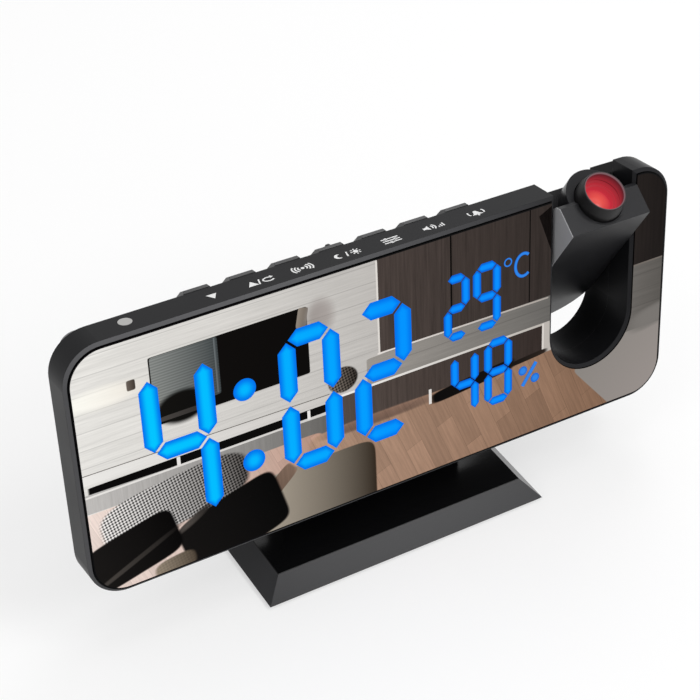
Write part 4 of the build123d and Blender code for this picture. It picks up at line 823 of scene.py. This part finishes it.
clockDots = [discSlab(middle, clock["dotRadius"]) for middle in clock["dots"]]
addFigures("clockStrokes", allDigits(clock) + clockDots, "clockFigures")
addFigures("smallStrokes", allDigits(small), "smallFigures")
addFigures("unitSigns", unitStrokes(), "unitSigns")
print("lit figures made")


# printed signs on the top: plain signs in place of words, at mm from the left edge
printing = {
    "depthMm": 4.7,  # behind the mirror's face, at the middle of a sign
    "liftMm": 0.03,
    "line": 0.42,
    "places": {
        "down": 43.9, "up": 57.6, "radio": 69.7, "night": 83.0,
        "setting": 96.6, "volume": 109.6, "alarm": 123.6,
    },
}


def onTop(across, forward, lift):
    # on the top of the frame, across from the middle of its width and forward from a sign's middle
    return facePoints(across, housing["height"] + lift, forward - printing["depthMm"])


def printSign(name, parts):
    # a part is a path, growing to the right and away from the front, and its width in mm
    shift = printing["places"][name] - housing["width"] / 2
    skins = []
    for path, width in parts:
        shifted = np.asarray(path, float) * [1, -1] + [shift, 0]
        skins.append(ribbonSlab(shifted, width, onTop, printing["liftMm"])[0])
    makePiece("print_" + name, skins, ink)


def dot(across, back, radius):
    # round spot as a band whose width follows the circle and keeps a little at its ends
    share = np.linspace(-1, 1, 13)
    width = 2 * radius * np.sqrt(np.clip(1 - share * share, 0.0004, 1))
    return np.stack([across + radius * share, np.full_like(share, back)], -1), width


def wedge(start, end, startWidth, endWidth):
    # straight band whose width changes evenly, such as an arrowhead
    return np.linspace(start, end, 5), np.linspace(startWidth, endWidth, 5)


ink = inkMaterial()
line = printing["line"]
printSign("down", [wedge((0, 1.3), (0, -1.1), 2.92, 0.02)])
printSign("up", [
    wedge((-2.6, -1.1), (-2.6, 1.3), 2.92, 0.02),
    ([(-0.9, -1.2), (-0.2, 1.2)], line),
    (arcPath((2.1, 0.0), (1.5, 0.95), 50, 330), line),
    wedge((2.9, 0.9), (3.8, 0.75), 1.32, 0.02),
])
printSign("radio", [dot(0, 0, 0.5)] + [
    (arcPath((0, 0), radii, middle - reach, middle + reach), line)
    for radii, reach in (((1.25, 1.1), 45), ((2.1, 1.8), 45), ((2.95, 2.4), 38))
    for middle in (0, 180)
])
crescent = arcPath((-2.3, 0), (1.0, 1.0), 70, 290)
printSign("night", [
    (crescent, 0.12 + 0.75 * np.sin(np.linspace(0, np.pi, len(crescent)))),
    ([(-0.3, -1.2), (0.3, 1.2)], line),
    dot(2.6, 0, 0.75),
] + [
    ([(2.6 + reach * math.cos(turn), reach * math.sin(turn)) for reach in (1.0, 1.5)], 0.36)
    for turn in np.radians(np.arange(0, 360, 45))
])
printSign("setting", [([(-2.6, back), (2.6, back)], line) for back in (-1.1, 0, 1.1)]
          + [dot(across, back, 0.55) for across, back in ((-1.2, 1.1), (1.3, 0), (-0.4, -1.1))])
printSign("volume", [
    ([(-3.0, 0), (-2.2, 0)], 1.0),
    wedge((-2.2, 0), (-1.2, 0), 1.0, 2.3),
    (arcPath((-1.0, 0), (0.9, 0.9), -50, 50), line),
    (arcPath((-1.0, 0), (1.7, 1.6), -50, 50), line),
] + [([(1.6 + 0.75 * bar, -1.1), (1.6 + 0.75 * bar, -0.5 + 0.55 * bar)], 0.42) for bar in range(3)])
bell = np.linspace(0, 1, 9)
printSign("alarm", [
    (np.stack([0 * bell, 1.25 - 2.0 * bell], -1), 0.5 + 1.5 * np.sqrt(bell) + 0.9 * bell ** 6),
    ([(-1.6, -0.85), (1.6, -0.85)], 0.32),
    dot(0, -1.35, 0.35),
    (arcPath((0, 0.2), (2.4, 2.0), -28, 28), line),
    (arcPath((0, 0.2), (2.4, 2.0), 152, 208), line),
])
print("print made")


# pale studio round the object
studio = {
    "worldFill": 0.6,
    "floorTone": 0.45,
    "floorLift": (0.52, 0.73),  # near the object and far from it, where the lamps no longer reach
    "floorFade": (0.35, 1.3),  # m
    "floorReach": 6.0,  # m, each way from the origin
    "floorHeight": -0.0003,  # m, just clear of the foot
    "lamps": [  # direction from the object, distance m, size m, radiance
        ("frontSoftbox", (0.42, -0.65, 0.61), 1.2, 0.45, 6.5),
        ("highSoftbox", (0.42, -0.38, 0.82), 1.2, 0.4, 5.0),
        ("leftSoftbox", (-0.80, -0.20, 0.55), 1.3, 0.6, 2.0),
        ("topSoftbox", (0.05, 0.15, 1.0), 1.4, 0.8, 1.2),
        ("backSoftbox", (0.42, 0.47, 0.77), 1.2, 0.5, 3.4),
    ],
    "aim": (0.0, 0.0, 0.045),
}


def seenFactor(tree):
    # 1 for camera, glossy and transmission rays, so that all of them meet the white background
    path = addNode(tree, "ShaderNodeLightPath")
    seen = path.outputs["Is Camera Ray"]
    for kind in ("Is Glossy Ray", "Is Transmission Ray"):
        seen = addNode(tree, "ShaderNodeMath", {"operation": "MAXIMUM"}, {0: seen, 1: path.outputs[kind]})
    return seen


def addWorld():
    # white wherever it is looked at, and dimmer as a light
    world = bpy.data.worlds.new("paleStudio")
    bpy.context.scene.world = world
    world.use_nodes = True
    tree = world.node_tree
    tree.nodes.clear()
    strength = addNode(tree, "ShaderNodeMapRange", {}, {
        "Value": seenFactor(tree), "To Min": studio["worldFill"], "To Max": 1.0})
    sky = addNode(tree, "ShaderNodeBackground", {}, {"Color": (1, 1, 1, 1), "Strength": strength})
    addNode(tree, "ShaderNodeOutputWorld", {}, {"Surface": sky})


def floorMaterial():
    # matt white paper that takes a soft shadow and melts into the background
    material, tree = newMaterial("paleFloor")
    matt = addNode(tree, "ShaderNodeBsdfDiffuse", {}, {"Color": (studio["floorTone"],) * 3 + (1,)})
    where = addNode(tree, "ShaderNodeTexCoord")
    distance = addNode(tree, "ShaderNodeVectorMath", {"operation": "LENGTH"}, {0: where.outputs["Object"]})
    lift = addNode(tree, "ShaderNodeMapRange", {"interpolation_type": "SMOOTHSTEP"}, {
        "Value": distance.outputs["Value"],
        "From Min": studio["floorFade"][0], "From Max": studio["floorFade"][1],
        "To Min": studio["floorLift"][0], "To Max": studio["floorLift"][1]})
    lit = addNode(tree, "ShaderNodeMath", {"operation": "MULTIPLY"}, {0: seenFactor(tree), 1: lift})
    white = addNode(tree, "ShaderNodeEmission", {}, {"Color": (1, 1, 1, 1), "Strength": lit})
    both = addNode(tree, "ShaderNodeAddShader", {}, {0: matt, 1: white})
    addNode(tree, "ShaderNodeOutputMaterial", {}, {"Surface": both})
    return material


def addFloor():
    reach, height = studio["floorReach"], studio["floorHeight"]
    ways = ((-1, -1), (1, -1), (1, 1), (-1, 1))
    corners = [(across * reach, along * reach, height) for across, along in ways]
    mesh = bpy.data.meshes.new("studioFloor")
    mesh.from_pydata(corners, [], [(0, 1, 2, 3)])
    mesh.materials.append(floorMaterial())
    floor = bpy.data.objects.new("studioFloor", mesh)
    bpy.context.scene.collection.objects.link(floor)


def addLamp(name, direction, distance, size, radiance):
    # a disc's energy is its area by its radiance by pi
    lamp = bpy.data.lights.new(name, "AREA")
    lamp.shape = "DISK"
    lamp.size = size
    lamp.energy = radiance * math.pi * math.pi * size * size / 4
    holder = bpy.data.objects.new(name, lamp)
    way = Vector(direction).normalized()
    holder.location = Vector(studio["aim"]) + way * distance
    holder.rotation_euler = way.to_track_quat("Z", "Y").to_euler()
    bpy.context.scene.collection.objects.link(holder)


view = {
    "place": (-217.65, -321.13, 371.16),  # mm
    "azimuth": -33.228, "elevation": 39.252, "roll": 3.502,  # degrees
    "lens": 93.59, "sensor": 36.0,
    "clipStart": 0.01,  # m
}


def addCamera():
    azimuth, elevation, roll = (math.radians(view[angle]) for angle in ("azimuth", "elevation", "roll"))
    level = math.cos(elevation)
    back = Vector((math.sin(azimuth) * level, -math.cos(azimuth) * level, math.sin(elevation)))
    right = Vector((math.cos(azimuth), math.sin(azimuth), 0))
    turned = Matrix.Rotation(roll, 3, back)
    axes = Matrix((turned @ right, turned @ back.cross(right), back)).transposed().to_4x4()
    data = bpy.data.cameras.new("camera")
    data.lens = view["lens"]
    data.sensor_width = view["sensor"]
    data.clip_start = view["clipStart"]
    camera = bpy.data.objects.new("camera", data)
    camera.matrix_world = Matrix.Translation(Vector(view["place"]) * mm) @ axes
    bpy.context.scene.collection.objects.link(camera)
    bpy.context.scene.camera = camera


addWorld()
addFloor()
for lamp in studio["lamps"]:
    addLamp(*lamp)
addCamera()
bpy.context.scene.view_settings.view_transform = "Standard"
print("stage, lamps and camera set")

bpy.context.view_layer.update()
